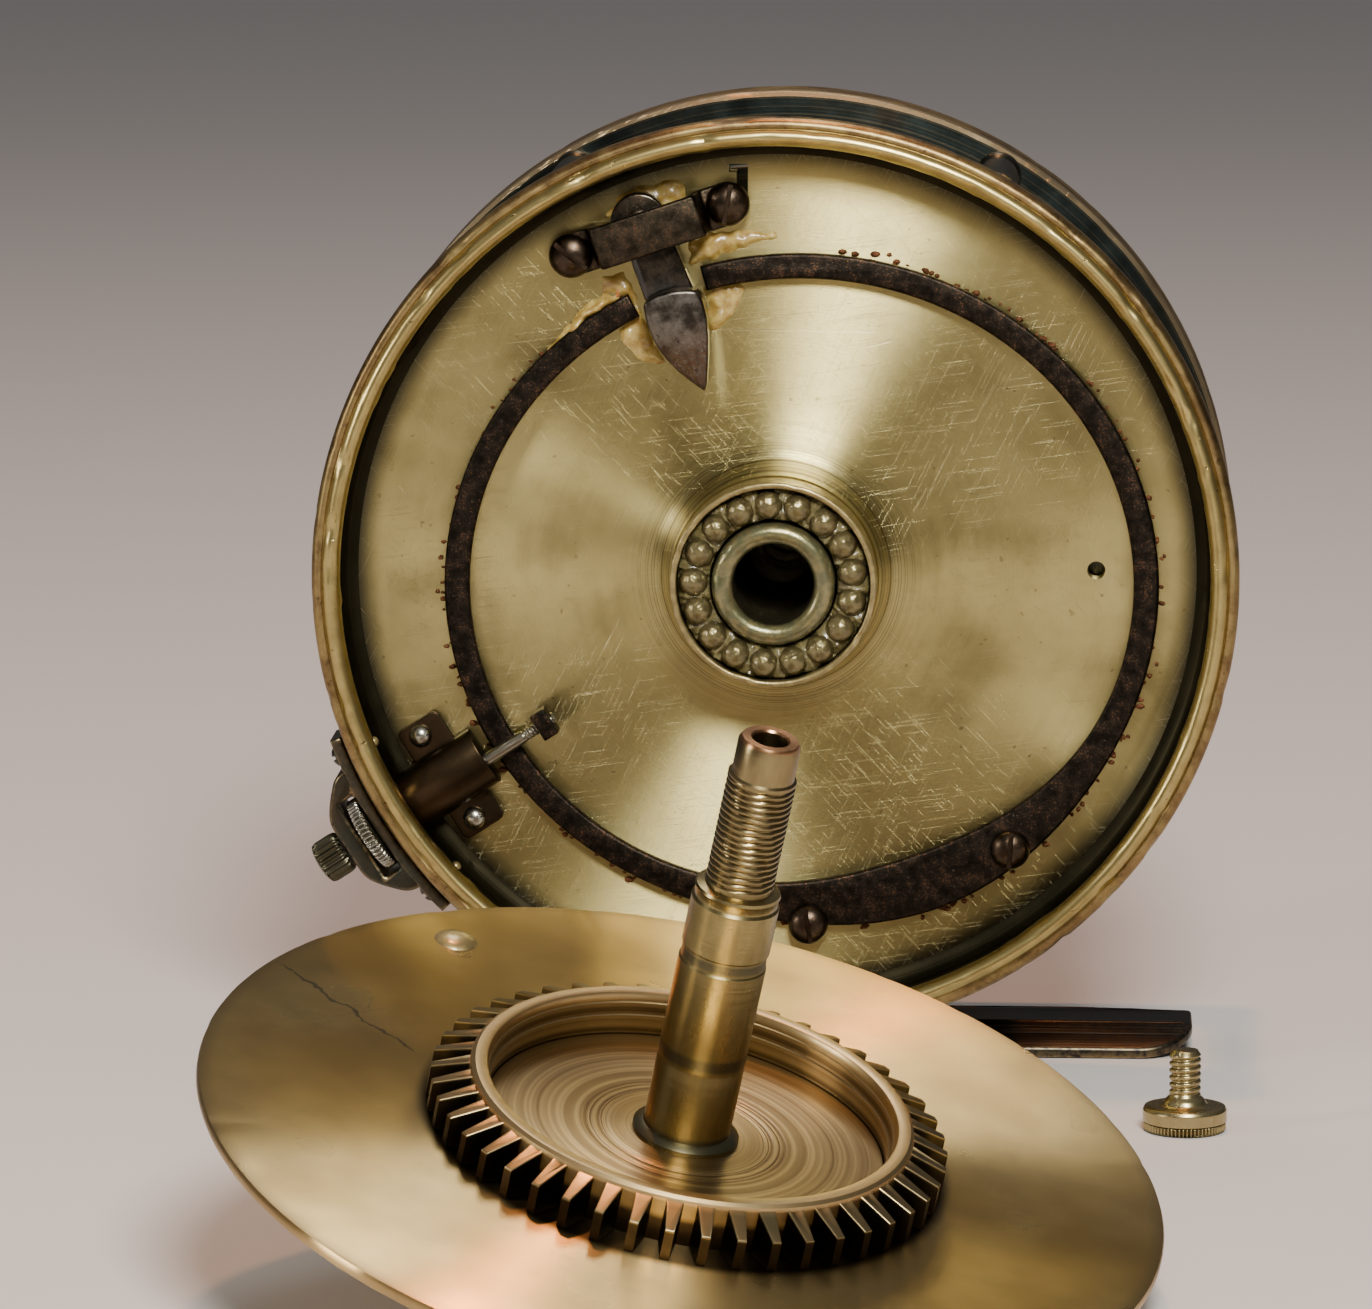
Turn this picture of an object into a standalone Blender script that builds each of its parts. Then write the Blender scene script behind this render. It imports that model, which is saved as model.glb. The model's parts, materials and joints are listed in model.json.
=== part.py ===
"""A 4 inch brass salmon fly reel with a ball bearing and a check, taken apart for cleaning.

The reel body stands on its foot, the handle plate with its ratchet ring and spindle leans on its own
handle in front of the body, and the thumb screw that holds the spindle stands on its head.

Metres, +Z up. The origin is the middle of the reel foot's underside, on its flat crown. The hub axis
runs along Y and the open, front side of the reel faces -Y. Every piece of the body hangs on the empty
reel_axis, whose local +Z runs out of the front of the hub, +X to the right and +Y up.
"""
import math

import bmesh
import bpy
from mathutils import Matrix, Vector

OBJECT_NAME = "fly_reel"

# Driving sizes of the reel body. Depths are behind the front plane, radii are about the hub axis.
RIM_RADIUS = 0.0508
REEL_DEPTH = 0.0460
HUB_ABOVE_TABLE = 0.0557
CLEARANCE = 0.0003
BIG_STEPS = 48
HUB_STEPS = 28
SMALL_STEPS = 12

# Check housing: the front plate with its wall and bead
BEAD_INNER = 0.0476
WALL_OUTER = 0.0500
WALL_INNER = 0.0483
CHECK_FACE_RADIUS = 0.0457
CHECK_FACE_DEPTH = 0.0080
HOUSING_BACK = 0.0110
BOSS_FRONT = -0.0028

# Ball race at the hub
BALL_COUNT = 17
BALL_RADIUS = 0.0015875
BALL_PITCH_RADIUS = 0.00875
BALL_HEIGHT = 0.0007
FIRST_BALL_ANGLE = 9.0
CUP_LIP_OUTER = 0.0113
CUP_LIP_INNER = 0.0106
CUP_FRONT = 0.0021
CUP_FLOOR = -0.0012
CUP_BACK = -0.0025
SLEEVE_OUTER = 0.00675
SLEEVE_BORE = 0.0044
SLEEVE_FRONT = 0.0019
SLEEVE_BACK = -0.0118
PLATE_BORE = 0.0070

# Screws and rivets, and where they stand
SCREW_SHANK = 0.0010
RIVET_SHANK = 0.0006
BLOCK_RIVET_RADIUS_AT = 0.0430
BLOCK_RIVET_OFFSETS = (0.0049, -0.0060)
COVER_RIVET_ANGLE = 9.9
COVER_RIVET_HEIGHT = -0.0062

# Pawl and its bridge
PAWL_ANGLE = 111.0
PAWL_PIVOT_RADIUS = 0.0418
PAWL_BOSS_RADIUS = 0.0031
PAWL_LENGTH = 0.0195
PAWL_HALF_WIDTH = 0.0031
PAWL_LOW = -0.0077
PAWL_NECK_HIGH = -0.0047
PAWL_BODY_HIGH = -0.0013
PAWL_BODY_START = 0.0086
POST_RADIUS = 0.0012
BRIDGE_LEFT = (-0.02251, 0.03508)
BRIDGE_RIGHT = (-0.00535, 0.04086)
BRIDGE_WIDTH = 0.0047
BRIDGE_THICKNESS = 0.0012
BRIDGE_TOP = -0.0028

# C-shaped check spring, an ellipse round the hub
SPRING_CENTRE = (0.00275, -0.00133)
SPRING_RADII = (0.03795, 0.0354)
SPRING_START = 119.0
SPRING_END = 466.5
SPRING_WIDTH = 0.0028
SPRING_WAIST = 0.0038
SPRING_THICKNESS = 0.0013
SPRING_SCREWS = ((0.02595, -0.03048), (0.00366, -0.03912))

# Regulator at the rim, on its own radius
REGULATOR_ANGLE = 213.0
REGULATOR_HEIGHT = -0.0049
ROD_RADIUS = 0.0007
ROD_INNER = 0.0290
ROD_OUTER = 0.0546
NUT_RADIUS_AT = 0.0303
WHEEL_INNER = 0.0524
WHEEL_THICKNESS = 0.0015
WHEEL_RADIUS = 0.00435
COVER_HALF_ANGLE = 12.5
COVER_INNER = 0.0511
COVER_OUTER = 0.0524
HOUSING_OUTER = 0.0563
KNOB_INNER = 0.0566
KNOB_OUTER = 0.0600
KNOB_RADIUS = 0.00245

# Cage: rear plate, pillars and foot
REAR_FACE = -0.0380
REAR_WEB = -0.0410
PILLAR_COUNT = 6
PILLAR_RADIUS_AT = 0.0478
PILLAR_RADIUS = 0.0023
TENON_RADIUS = 0.0012
TENON_LENGTH = 0.0020
FOOT_DEPTH = 0.0240
FOOT_LENGTH = 0.0930
FOOT_WIDTH = 0.0190
FOOT_THICKNESS = 0.0015
FOOT_ARCH = 0.0018
FOOT_FLAT = 0.0060
FOOT_SCREW_RADIUS = 0.0012
FOOT_SCREWS = ((-0.0060, 0.0), (0.0060, 0.0))
SADDLE_LENGTH = 0.0200
SADDLE_TOP_RADIUS = 0.0464

# Line drum
DRUM_FRONT = -0.0122
DRUM_BACK = -0.0374
DRUM_RADIUS = 0.0448
DRUM_ARBOR = 0.0140
DRUM_FLANGE = 0.0012
DRUM_BORE = 0.0064

# Handle plate, in its own frame with +Z along the spindle
PLATE_CENTRE = (-0.00455, -0.12665, 0.01478)
PLATE_TILT = 18.76
PLATE_DOWNHILL = -51.0
PLATE_RADIUS = 0.0474
PLATE_THICKNESS = 0.0014
RACE_FLOOR = 0.0006
RACE_RADIUS = 0.0193
OUTER_BOSS_RADIUS = 0.0100
OUTER_BOSS_FACE = -0.0026
RATCHET_TEETH = 46
RATCHET_TIP = 0.0254
RATCHET_ROOT = 0.0214
RATCHET_BORE = 0.0196
RATCHET_HEIGHT = 0.0050
SPINDLE_RADIUS = 0.00425
SPINDLE_SHOULDER = 0.0274
SPINDLE_THREAD_RADIUS = 0.0033
SPINDLE_TIP = 0.0431
HANDLE_RADIUS_AT = 0.0410
HANDLE_BOTTOM = -0.0297
HANDLE_PIN_RADIUS = 0.0015

# Thumb screw, in its own frame with its head on the table
THUMB_PLACE = (0.0450, -0.0459)
THUMB_HEAD_RADIUS = 0.0045
THUMB_HEAD_HEIGHT = 0.0028
THUMB_STUD_RADIUS = 0.0017
THUMB_LENGTH = 0.0088


def clear_scene():
    """Remove whatever the file opened with."""
    for thing in list(bpy.data.objects):
        bpy.data.objects.remove(thing, do_unlink=True)


def new_collection(name):
    """Add a collection to the scene."""
    collection = bpy.data.collections.new(name)
    bpy.context.scene.collection.children.link(collection)
    return collection


def metal(name, colour, roughness, metallic=1.0):
    """One Principled material."""
    material = bpy.data.materials.new(name)
    material.use_nodes = True
    shader = material.node_tree.nodes["Principled BSDF"]
    shader.inputs["Base Color"].default_value = (*colour, 1.0)
    shader.inputs["Roughness"].default_value = roughness
    shader.inputs["Metallic"].default_value = metallic
    return material


def make_materials():
    """Every finish on the reel."""
    return {
        "brass": metal("turned_brass", (0.62, 0.52, 0.27), 0.32),
        "gold": metal("polished_brass", (0.80, 0.63, 0.33), 0.25),
        "dark_brass": metal("oxidised_brass", (0.10, 0.09, 0.06), 0.45),
        "steel": metal("rusty_steel", (0.09, 0.07, 0.06), 0.45),
        "ball": metal("greasy_ball", (0.42, 0.36, 0.25), 0.35),
        "wood": metal("blackwood", (0.02, 0.016, 0.013), 0.30, 0.0),
        "silver": metal("nickel_silver", (0.66, 0.66, 0.60), 0.30),
    }


def empty(name, place, turn, parent=None):
    """A frame that pieces hang on."""
    axes = bpy.data.objects.new(name, None)
    axes.empty_display_size = 0.01
    axes.location = place
    axes.rotation_euler = turn
    axes.parent = parent
    PARTS.objects.link(axes)
    return axes


def put(name, mesh, parent, material, place=(0.0, 0.0, 0.0), turn=(0.0, 0.0, 0.0)):
    """Make a mesh into a named piece of the reel."""
    piece = bpy.data.objects.new(name, mesh)
    piece.parent = parent
    piece.location = place
    piece.rotation_euler = turn
    mesh.materials.append(material)
    PARTS.objects.link(piece)
    return piece


def polar(radius, degrees):
    """A point on the face of the reel."""
    angle = math.radians(degrees)
    return radius * math.cos(angle), radius * math.sin(angle)


def arc(centre, radius, start, end, count):
    """Points along a circular arc, from one angle to another."""
    step = (end - start) / (count - 1)
    points = [polar(radius, start + step * i) for i in range(count)]
    return [(centre[0] + x, centre[1] + y) for x, y in points]


def turned(name, outline, parent, material, steps, ring=True, place=(0, 0, 0), turn=(0, 0, 0)):
    """A lathe-turned piece. A ring's outline closes on itself, a solid one ends on the axis."""
    mesh = bpy.data.meshes.new(name)
    edges = [(i, i + 1) for i in range(len(outline) - 1)]
    if ring:
        edges.append((len(outline) - 1, 0))
    mesh.from_pydata([(radius, 0.0, height) for radius, height in outline], edges, [])
    piece = put(name, mesh, parent, material, place, turn)
    screw = piece.modifiers.new("lathe", "SCREW")
    screw.angle = 2 * math.pi
    screw.steps = steps
    screw.render_steps = steps
    screw.use_merge_vertices = True
    screw.merge_threshold = 0.00001
    screw.use_smooth_shade = True
    return piece


def sheet_mesh(name, outlines, thickness):
    """A flat outline, with any inner outlines as holes, extruded about its own plane."""
    curve = bpy.data.curves.new(name, "CURVE")
    curve.dimensions = "2D"
    curve.fill_mode = "BOTH"
    curve.extrude = thickness / 2
    for outline in outlines:
        spline = curve.splines.new("POLY")
        spline.points.add(len(outline) - 1)
        for point, (x, y) in zip(spline.points, outline):
            point.co = (x, y, 0.0, 1.0)
        spline.use_cyclic_u = True
    pattern = bpy.data.objects.new(name, curve)
    bpy.context.scene.collection.objects.link(pattern)
    ready = pattern.evaluated_get(bpy.context.evaluated_depsgraph_get())
    mesh = bpy.data.meshes.new_from_object(ready)
    bpy.data.objects.remove(pattern, do_unlink=True)
    weld(mesh)
    return mesh


def weld(mesh):
    """Close the seams between a curve's sides and its caps."""
    work = bmesh.new()
    work.from_mesh(mesh)
    bmesh.ops.remove_doubles(work, verts=work.verts, dist=0.000005)
    bmesh.ops.recalc_face_normals(work, faces=work.faces)
    work.to_mesh(mesh)
    work.free()


def sheet(name, outlines, low, high, parent, material, place=(0, 0, 0), turn=(0, 0, 0)):
    """A piece cut from sheet, lying between two heights of its own frame."""
    mesh = sheet_mesh(name, outlines, high - low)
    mesh.transform(Matrix.Translation((0.0, 0.0, (low + high) / 2)))
    return put(name, mesh, parent, material, place, turn)


def box_mesh(name, boxes):
    """Boxes, each a low corner and a high corner."""
    work = bmesh.new()
    for low, high in boxes:
        size = Vector(high) - Vector(low)
        middle = (Vector(high) + Vector(low)) / 2
        place = Matrix.Translation(middle) @ Matrix.Diagonal((*size, 1.0))
        bmesh.ops.create_cube(work, size=1.0, matrix=place)
    mesh = bpy.data.meshes.new(name)
    work.to_mesh(mesh)
    work.free()
    return mesh


def rod_mesh(name, rods, sides):
    """Plain rods, each a middle point, a direction, a length and a radius."""
    work = bmesh.new()
    for middle, direction, length, radius in rods:
        aim = Vector((0.0, 0.0, 1.0)).rotation_difference(Vector(direction)).to_matrix().to_4x4()
        place = Matrix.Translation(middle) @ aim
        bmesh.ops.create_cone(work, cap_ends=True, segments=sides, radius1=radius,
                              radius2=radius, depth=length, matrix=place)
    mesh = bpy.data.meshes.new(name)
    work.to_mesh(mesh)
    work.free()
    return mesh


def combine(piece, mesh, operation):
    """Cut a mesh out of a piece, or join it on, in the piece's own frame."""
    tool = bpy.data.objects.new(f"{piece.name}_{operation.lower()}", mesh)
    tool.parent = piece.parent
    tool.location = piece.location
    tool.rotation_euler = piece.rotation_euler
    tool.display_type = "WIRE"
    tool.hide_render = True
    CUTTERS.objects.link(tool)
    boolean = piece.modifiers.new(operation.lower(), "BOOLEAN")
    boolean.operation = operation
    boolean.solver = "EXACT"
    boolean.object = tool
    return piece


def drill(piece, rods, sides=12):
    """Cut round holes."""
    return combine(piece, rod_mesh(f"{piece.name}_holes", rods, sides), "DIFFERENCE")


def hole(x, y, low, high, radius):
    """A hole along the local Z axis, for drill."""
    return (x, y, (low + high) / 2), (0.0, 0.0, 1.0), high - low, radius


def slotted_screw(name, head_radius, head_height, shank_radius, shank_length, parent, material,
                  place, slot_turn):
    """A domed screw with a straight slot, its head's underside at its origin."""
    curve = arc((0.0, 0.0), 1.0, 90.0, 12.0, 5)
    dome = [(head_radius * x, head_height * y) for x, y in curve]
    dome[0] = (0.0, head_height)
    outline = dome + [(head_radius, 0.0), (shank_radius, 0.0), (shank_radius, -shank_length),
                      (0.0, -shank_length)]
    screw = turned(name, outline, parent, material, SMALL_STEPS, False, place,
                   (0.0, 0.0, math.radians(slot_turn)))
    half_slot = 0.00022
    slot_depth = head_height * 0.42
    slot = box_mesh(f"{name}_slot", [((-head_radius * 1.1, -half_slot, head_height - slot_depth),
                                      (head_radius * 1.1, half_slot, head_height * 1.2))])
    return combine(screw, slot, "DIFFERENCE")


def rivet(name, radius, height, shank_radius, shank_length, parent, material, place, turn=(0, 0, 0)):
    """A domed rivet, its head's underside at its origin."""
    dome = [(radius * x, height * y) for x, y in arc((0.0, 0.0), 1.0, 90.0, 0.0, 5)]
    dome[0] = (0.0, height)
    outline = dome + [(shank_radius, 0.0), (shank_radius, -shank_length), (0.0, -shank_length)]
    return turned(name, outline, parent, material, 12, False, place, turn)


def on_radius(radius, offset, height, angle):
    """A point on the face given along and across a radius of the reel."""
    x, y = polar(radius, angle)
    across_x, across_y = polar(offset, angle + 90.0)
    return x + across_x, y + across_y, height


def pawl_pivot():
    """Where the pawl turns."""
    return polar(PAWL_PIVOT_RADIUS, PAWL_ANGLE)


def pillar_angles():
    """The cage's pillars, evenly round the rim."""
    return [360.0 / PILLAR_COUNT * i for i in range(PILLAR_COUNT)]


def make_check_housing(reel, finish):
    """Front plate, wall and bead in one turned casting, with every hole it is drilled for."""
    fillet_radius = WALL_INNER - CHECK_FACE_RADIUS
    fillet_centre = (CHECK_FACE_RADIUS, -CHECK_FACE_DEPTH + fillet_radius)
    outline = [(0.0492, 0.0), (0.0503, -0.0004), (RIM_RADIUS, -0.0014), (RIM_RADIUS, -0.0034),
               (WALL_OUTER, -0.0042), (WALL_OUTER, -HOUSING_BACK), (PLATE_BORE, -HOUSING_BACK),
               (PLATE_BORE, BOSS_FRONT), (CUP_LIP_OUTER, BOSS_FRONT), (0.0117, -0.0056),
               (0.0125, -0.0072), (0.0142, -CHECK_FACE_DEPTH)]
    outline += arc(fillet_centre, fillet_radius, 270.0, 360.0, 5)
    outline += [(WALL_INNER, -0.0030), (0.0480, -0.0027), (BEAD_INNER, -0.0012), (0.0481, -0.0002)]
    housing = turned("check_housing", outline, reel, finish, BIG_STEPS)
    back = -HOUSING_BACK - 0.001
    pin_floor = -HOUSING_BACK + 0.0006
    face = -CHECK_FACE_DEPTH + 0.001
    rods = [hole(0.0352, 0.0005, back, face, 0.0010)]
    rods.append(hole(*pawl_pivot(), pin_floor, face, POST_RADIUS + CLEARANCE))
    for x, y in (BRIDGE_LEFT, BRIDGE_RIGHT) + SPRING_SCREWS:
        rods.append(hole(x, y, pin_floor, face, SCREW_SHANK + CLEARANCE))
    for offset in BLOCK_RIVET_OFFSETS:
        x, y, _ = on_radius(BLOCK_RIVET_RADIUS_AT, offset, 0.0, REGULATOR_ANGLE)
        rods.append(hole(x, y, pin_floor, face, RIVET_SHANK + CLEARANCE))
    for angle in pillar_angles():
        x, y = polar(PILLAR_RADIUS_AT, angle)
        rods.append(hole(x, y, back, -HOUSING_BACK + TENON_LENGTH + CLEARANCE, TENON_RADIUS + CLEARANCE))
    drill(housing, rods, 8)
    outward = (*polar(1.0, REGULATOR_ANGLE), 0.0)
    radial = [(on_radius(0.0490, 0.0, REGULATOR_HEIGHT, REGULATOR_ANGLE), outward, 0.006, 0.0011)]
    for side in (-1, 1):
        angle = REGULATOR_ANGLE + side * COVER_RIVET_ANGLE
        aim = (*polar(1.0, angle), 0.0)
        spot = (*polar(0.0490, angle), COVER_RIVET_HEIGHT)
        radial.append((spot, aim, 0.006, RIVET_SHANK + CLEARANCE))
    combine(housing, rod_mesh("housing_radial_holes", radial, 8), "DIFFERENCE")
    notch = [((-0.0042, 0.0411, face - 0.0022), (-0.0032, 0.0443, face))]
    combine(housing, box_mesh("housing_notch", notch), "DIFFERENCE")
    return housing


def make_ball_race(reel, finishes):
    """Cup, sleeve and a full complement of balls."""
    edge = CUP_FRONT - 0.0002
    cup = [(CUP_LIP_OUTER, edge), (CUP_LIP_OUTER, CUP_BACK), (PLATE_BORE, CUP_BACK),
           (PLATE_BORE, CUP_FLOOR), (CUP_LIP_INNER, CUP_FLOOR), (CUP_LIP_INNER, edge),
           (CUP_LIP_INNER + 0.0003, CUP_FRONT)]
    turned("bearing_cup", cup, reel, finishes["gold"], HUB_STEPS)
    edge = SLEEVE_FRONT - 0.0005
    sleeve = [(SLEEVE_OUTER - 0.0005, SLEEVE_FRONT), (SLEEVE_OUTER, edge), (SLEEVE_OUTER, SLEEVE_BACK),
              (SLEEVE_BORE, SLEEVE_BACK), (SLEEVE_BORE, edge), (SLEEVE_BORE + 0.0005, SLEEVE_FRONT)]
    turned("hub_sleeve", sleeve, reel, finishes["brass"], HUB_STEPS)
    work = bmesh.new()
    bmesh.ops.create_uvsphere(work, u_segments=10, v_segments=7, radius=BALL_RADIUS)
    ball = bpy.data.meshes.new("bearing_ball")
    work.to_mesh(ball)
    work.free()
    ball.materials.append(finishes["ball"])
    for i in range(BALL_COUNT):
        x, y = polar(BALL_PITCH_RADIUS, FIRST_BALL_ANGLE + 360.0 / BALL_COUNT * i)
        piece = bpy.data.objects.new(f"ball_{i + 1:02d}", ball)
        piece.parent = reel
        piece.location = (x, y, BALL_HEIGHT)
        PARTS.objects.link(piece)


def make_pawl(reel, finishes):
    """The pawl, on a post that stands in the check plate."""
    x, y = pawl_pivot()
    foot = -HOUSING_BACK + 0.0009
    post = [(0.0, PAWL_NECK_HIGH), (POST_RADIUS, PAWL_NECK_HIGH), (POST_RADIUS, foot), (0.0, foot)]
    turned("pawl_post", post, reel, finishes["steel"], SMALL_STEPS, False, (x, y, 0.0))
    inner = arc((0.0, 0.0), PAWL_BOSS_RADIUS, 50.0, 310.0, 9)
    neck = inner + [(0.0040, -0.0024), (0.0100, -0.0026), (0.0100, 0.0032), (0.0040, 0.0028)]
    aim = (0.0, 0.0, math.radians(PAWL_ANGLE + 180.0))
    pawl = sheet("pawl", [neck], PAWL_LOW, PAWL_NECK_HIGH, reel, finishes["steel"], (x, y, 0.0), aim)
    half = PAWL_HALF_WIDTH
    tongue = [(PAWL_BODY_START, -half * 0.97), (0.0126, -half * 0.95), (0.0165, -half * 0.62),
              (PAWL_LENGTH - 0.0002, -0.0005), (PAWL_LENGTH, 0.0001), (PAWL_LENGTH - 0.0003, 0.0006),
              (0.0155, 0.0024), (0.0118, 0.0034), (PAWL_BODY_START, 0.0036)]
    body = sheet_mesh("pawl_body", [tongue], PAWL_BODY_HIGH - PAWL_LOW)
    body.transform(Matrix.Translation((0.0, 0.0, (PAWL_BODY_HIGH + PAWL_LOW) / 2)))
    combine(pawl, body, "UNION")
    drill(pawl, [hole(0.0, 0.0, PAWL_LOW - 0.001, PAWL_NECK_HIGH + 0.001, POST_RADIUS + CLEARANCE)])


def make_bridge(reel, finishes):
    """The strap over the pawl, with a domed screw at each end."""
    left = Vector(BRIDGE_LEFT)
    right = Vector(BRIDGE_RIGHT)
    middle = (left + right) / 2
    lean = math.atan2(right.y - left.y, right.x - left.x)
    half_span = (right - left).length / 2
    bar_half = half_span - 0.0030
    tab_end = half_span + 0.0014
    foot = -CHECK_FACE_DEPTH + CLEARANCE
    under = BRIDGE_TOP - BRIDGE_THICKNESS
    low = foot + BRIDGE_THICKNESS
    outline = [(-tab_end, foot), (-bar_half + 0.0005, foot), (-bar_half + 0.0012, under),
               (bar_half - 0.0012, under), (bar_half - 0.0005, foot), (tab_end, foot),
               (tab_end, low), (bar_half + 0.0004, low), (bar_half, BRIDGE_TOP),
               (-bar_half, BRIDGE_TOP), (-bar_half - 0.0004, low), (-tab_end, low)]
    mesh = sheet_mesh("pawl_bridge", [outline], BRIDGE_WIDTH)
    mesh.transform(Matrix.Rotation(math.radians(90.0), 4, "X"))
    strap = put("pawl_bridge", mesh, reel, finishes["steel"], (*middle, 0.0), (0.0, 0.0, lean))
    bore = SCREW_SHANK + CLEARANCE
    drill(strap, [hole(side * half_span, 0.0, foot - 0.001, low + 0.001, bore) for side in (-1, 1)])
    for name, spot, slot in (("left", left, -38.0), ("right", right, 80.0)):
        slotted_screw(f"bridge_screw_{name}", 0.0024, 0.0016, SCREW_SHANK, 0.0035, reel,
                      finishes["steel"], (*spot, low + CLEARANCE / 3), slot)


def spring_point(turn, offset):
    """A point beside the spring's centre line."""
    angle = math.radians(turn)
    normal = Vector((SPRING_RADII[1] * math.cos(angle), SPRING_RADII[0] * math.sin(angle))).normalized()
    x = SPRING_CENTRE[0] + SPRING_RADII[0] * math.cos(angle) + normal.x * offset
    y = SPRING_CENTRE[1] + SPRING_RADII[1] * math.sin(angle) + normal.y * offset
    return x, y


def make_check_spring(reel, finishes):
    """A C-shaped flat spring, widest where two screws hold it."""
    count = 40
    turns = [SPRING_START + (SPRING_END - SPRING_START) * i / count for i in range(count + 1)]
    widths = [SPRING_WIDTH + SPRING_WAIST * math.exp(-((turn - 292.0) / 27.0) ** 2) for turn in turns]
    outer = [spring_point(turn, width / 2) for turn, width in zip(turns, widths)]
    inner = [spring_point(turn, -width / 2) for turn, width in zip(turns, widths)]
    low = -CHECK_FACE_DEPTH + CLEARANCE
    top = low + SPRING_THICKNESS
    spring = sheet("check_spring", [outer + inner[::-1]], low, top, reel, finishes["steel"])
    drill(spring, [hole(x, y, low - 0.001, top + 0.001, SCREW_SHANK + CLEARANCE) for x, y in SPRING_SCREWS])
    for i, (spot, slot) in enumerate(zip(SPRING_SCREWS, (86.0, 100.0))):
        slotted_screw(f"spring_screw_{i + 1}", 0.0022, 0.0015, SCREW_SHANK, 0.0034, reel,
                      finishes["steel"], (*spot, top + CLEARANCE / 3), slot)


def make_regulator(reel, finishes):
    """The tension regulator: block inside the wall, wheel and knob outside it, one rod through all."""
    axes = empty("regulator_axis", (0, 0, 0), (0.0, 0.0, math.radians(REGULATOR_ANGLE)), reel)
    outward = (0.0, math.radians(90.0), 0.0)
    on_axis = (0.0, 0.0, REGULATOR_HEIGHT)
    seat = -CHECK_FACE_DEPTH + CLEARANCE
    flange_top = seat + 0.0008
    flange = box_mesh("regulator_block", [((0.0400, -0.0076, seat), (0.0452, 0.0066, flange_top))])
    block = put("regulator_block", flange, axes, finishes["dark_brass"])
    body = box_mesh("regulator_body", [((0.0380, -0.0039, seat + 0.0001), (0.0466, 0.0029, -0.0035))])
    combine(block, body, "UNION")
    rods = [((0.0425, 0.0, REGULATOR_HEIGHT), (1.0, 0.0, 0.0), 0.012, 0.0010)]
    rods += [hole(BLOCK_RIVET_RADIUS_AT, offset, seat - 0.001, flange_top + 0.001, RIVET_SHANK + CLEARANCE)
             for offset in BLOCK_RIVET_OFFSETS]
    drill(block, rods, 8)
    for i, offset in enumerate(BLOCK_RIVET_OFFSETS):
        rivet(f"block_rivet_{i + 1}", 0.0013, 0.0011, RIVET_SHANK, 0.0030, axes, finishes["silver"],
              (BLOCK_RIVET_RADIUS_AT, offset, flange_top + CLEARANCE / 3))
    rod = [(0.0, ROD_OUTER), (ROD_RADIUS, ROD_OUTER), (ROD_RADIUS, ROD_INNER), (0.0, ROD_INNER)]
    turned("regulator_rod", rod, axes, finishes["silver"], 12, False, on_axis, outward)
    half = 0.0016
    deep = 0.0009
    nut = box_mesh("regulator_nut", [((-half, -half, NUT_RADIUS_AT - deep),
                                      (half, half, NUT_RADIUS_AT + deep))])
    square = put("regulator_nut", nut, axes, finishes["steel"], on_axis, outward)
    drill(square, [hole(0.0, 0.0, NUT_RADIUS_AT - 0.002, NUT_RADIUS_AT + 0.002, 0.0009)])
    ridges = 26
    rim = []
    for i in range(ridges):
        rim.append(polar(WHEEL_RADIUS, 360.0 / ridges * i))
        rim.append(polar(WHEEL_RADIUS - 0.0003, 360.0 / ridges * (i + 0.5)))
    bore = arc((0.0, 0.0), 0.0009, 0.0, 330.0, 12)
    sheet("regulator_wheel", [rim, bore], WHEEL_INNER, WHEEL_INNER + WHEEL_THICKNESS, axes,
          finishes["silver"], on_axis, outward)
    make_regulator_cover(axes, finishes)
    stub = ROD_OUTER + CLEARANCE
    knob = [(0.0, KNOB_OUTER), (KNOB_RADIUS * 0.82, KNOB_OUTER), (KNOB_RADIUS, KNOB_OUTER - 0.0005),
            (KNOB_RADIUS, KNOB_INNER + 0.0003), (KNOB_RADIUS * 0.8, KNOB_INNER), (ROD_RADIUS, KNOB_INNER),
            (ROD_RADIUS, stub), (0.0, stub)]
    turned("regulator_knob", knob, axes, finishes["dark_brass"], SMALL_STEPS, False, on_axis, outward)


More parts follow.
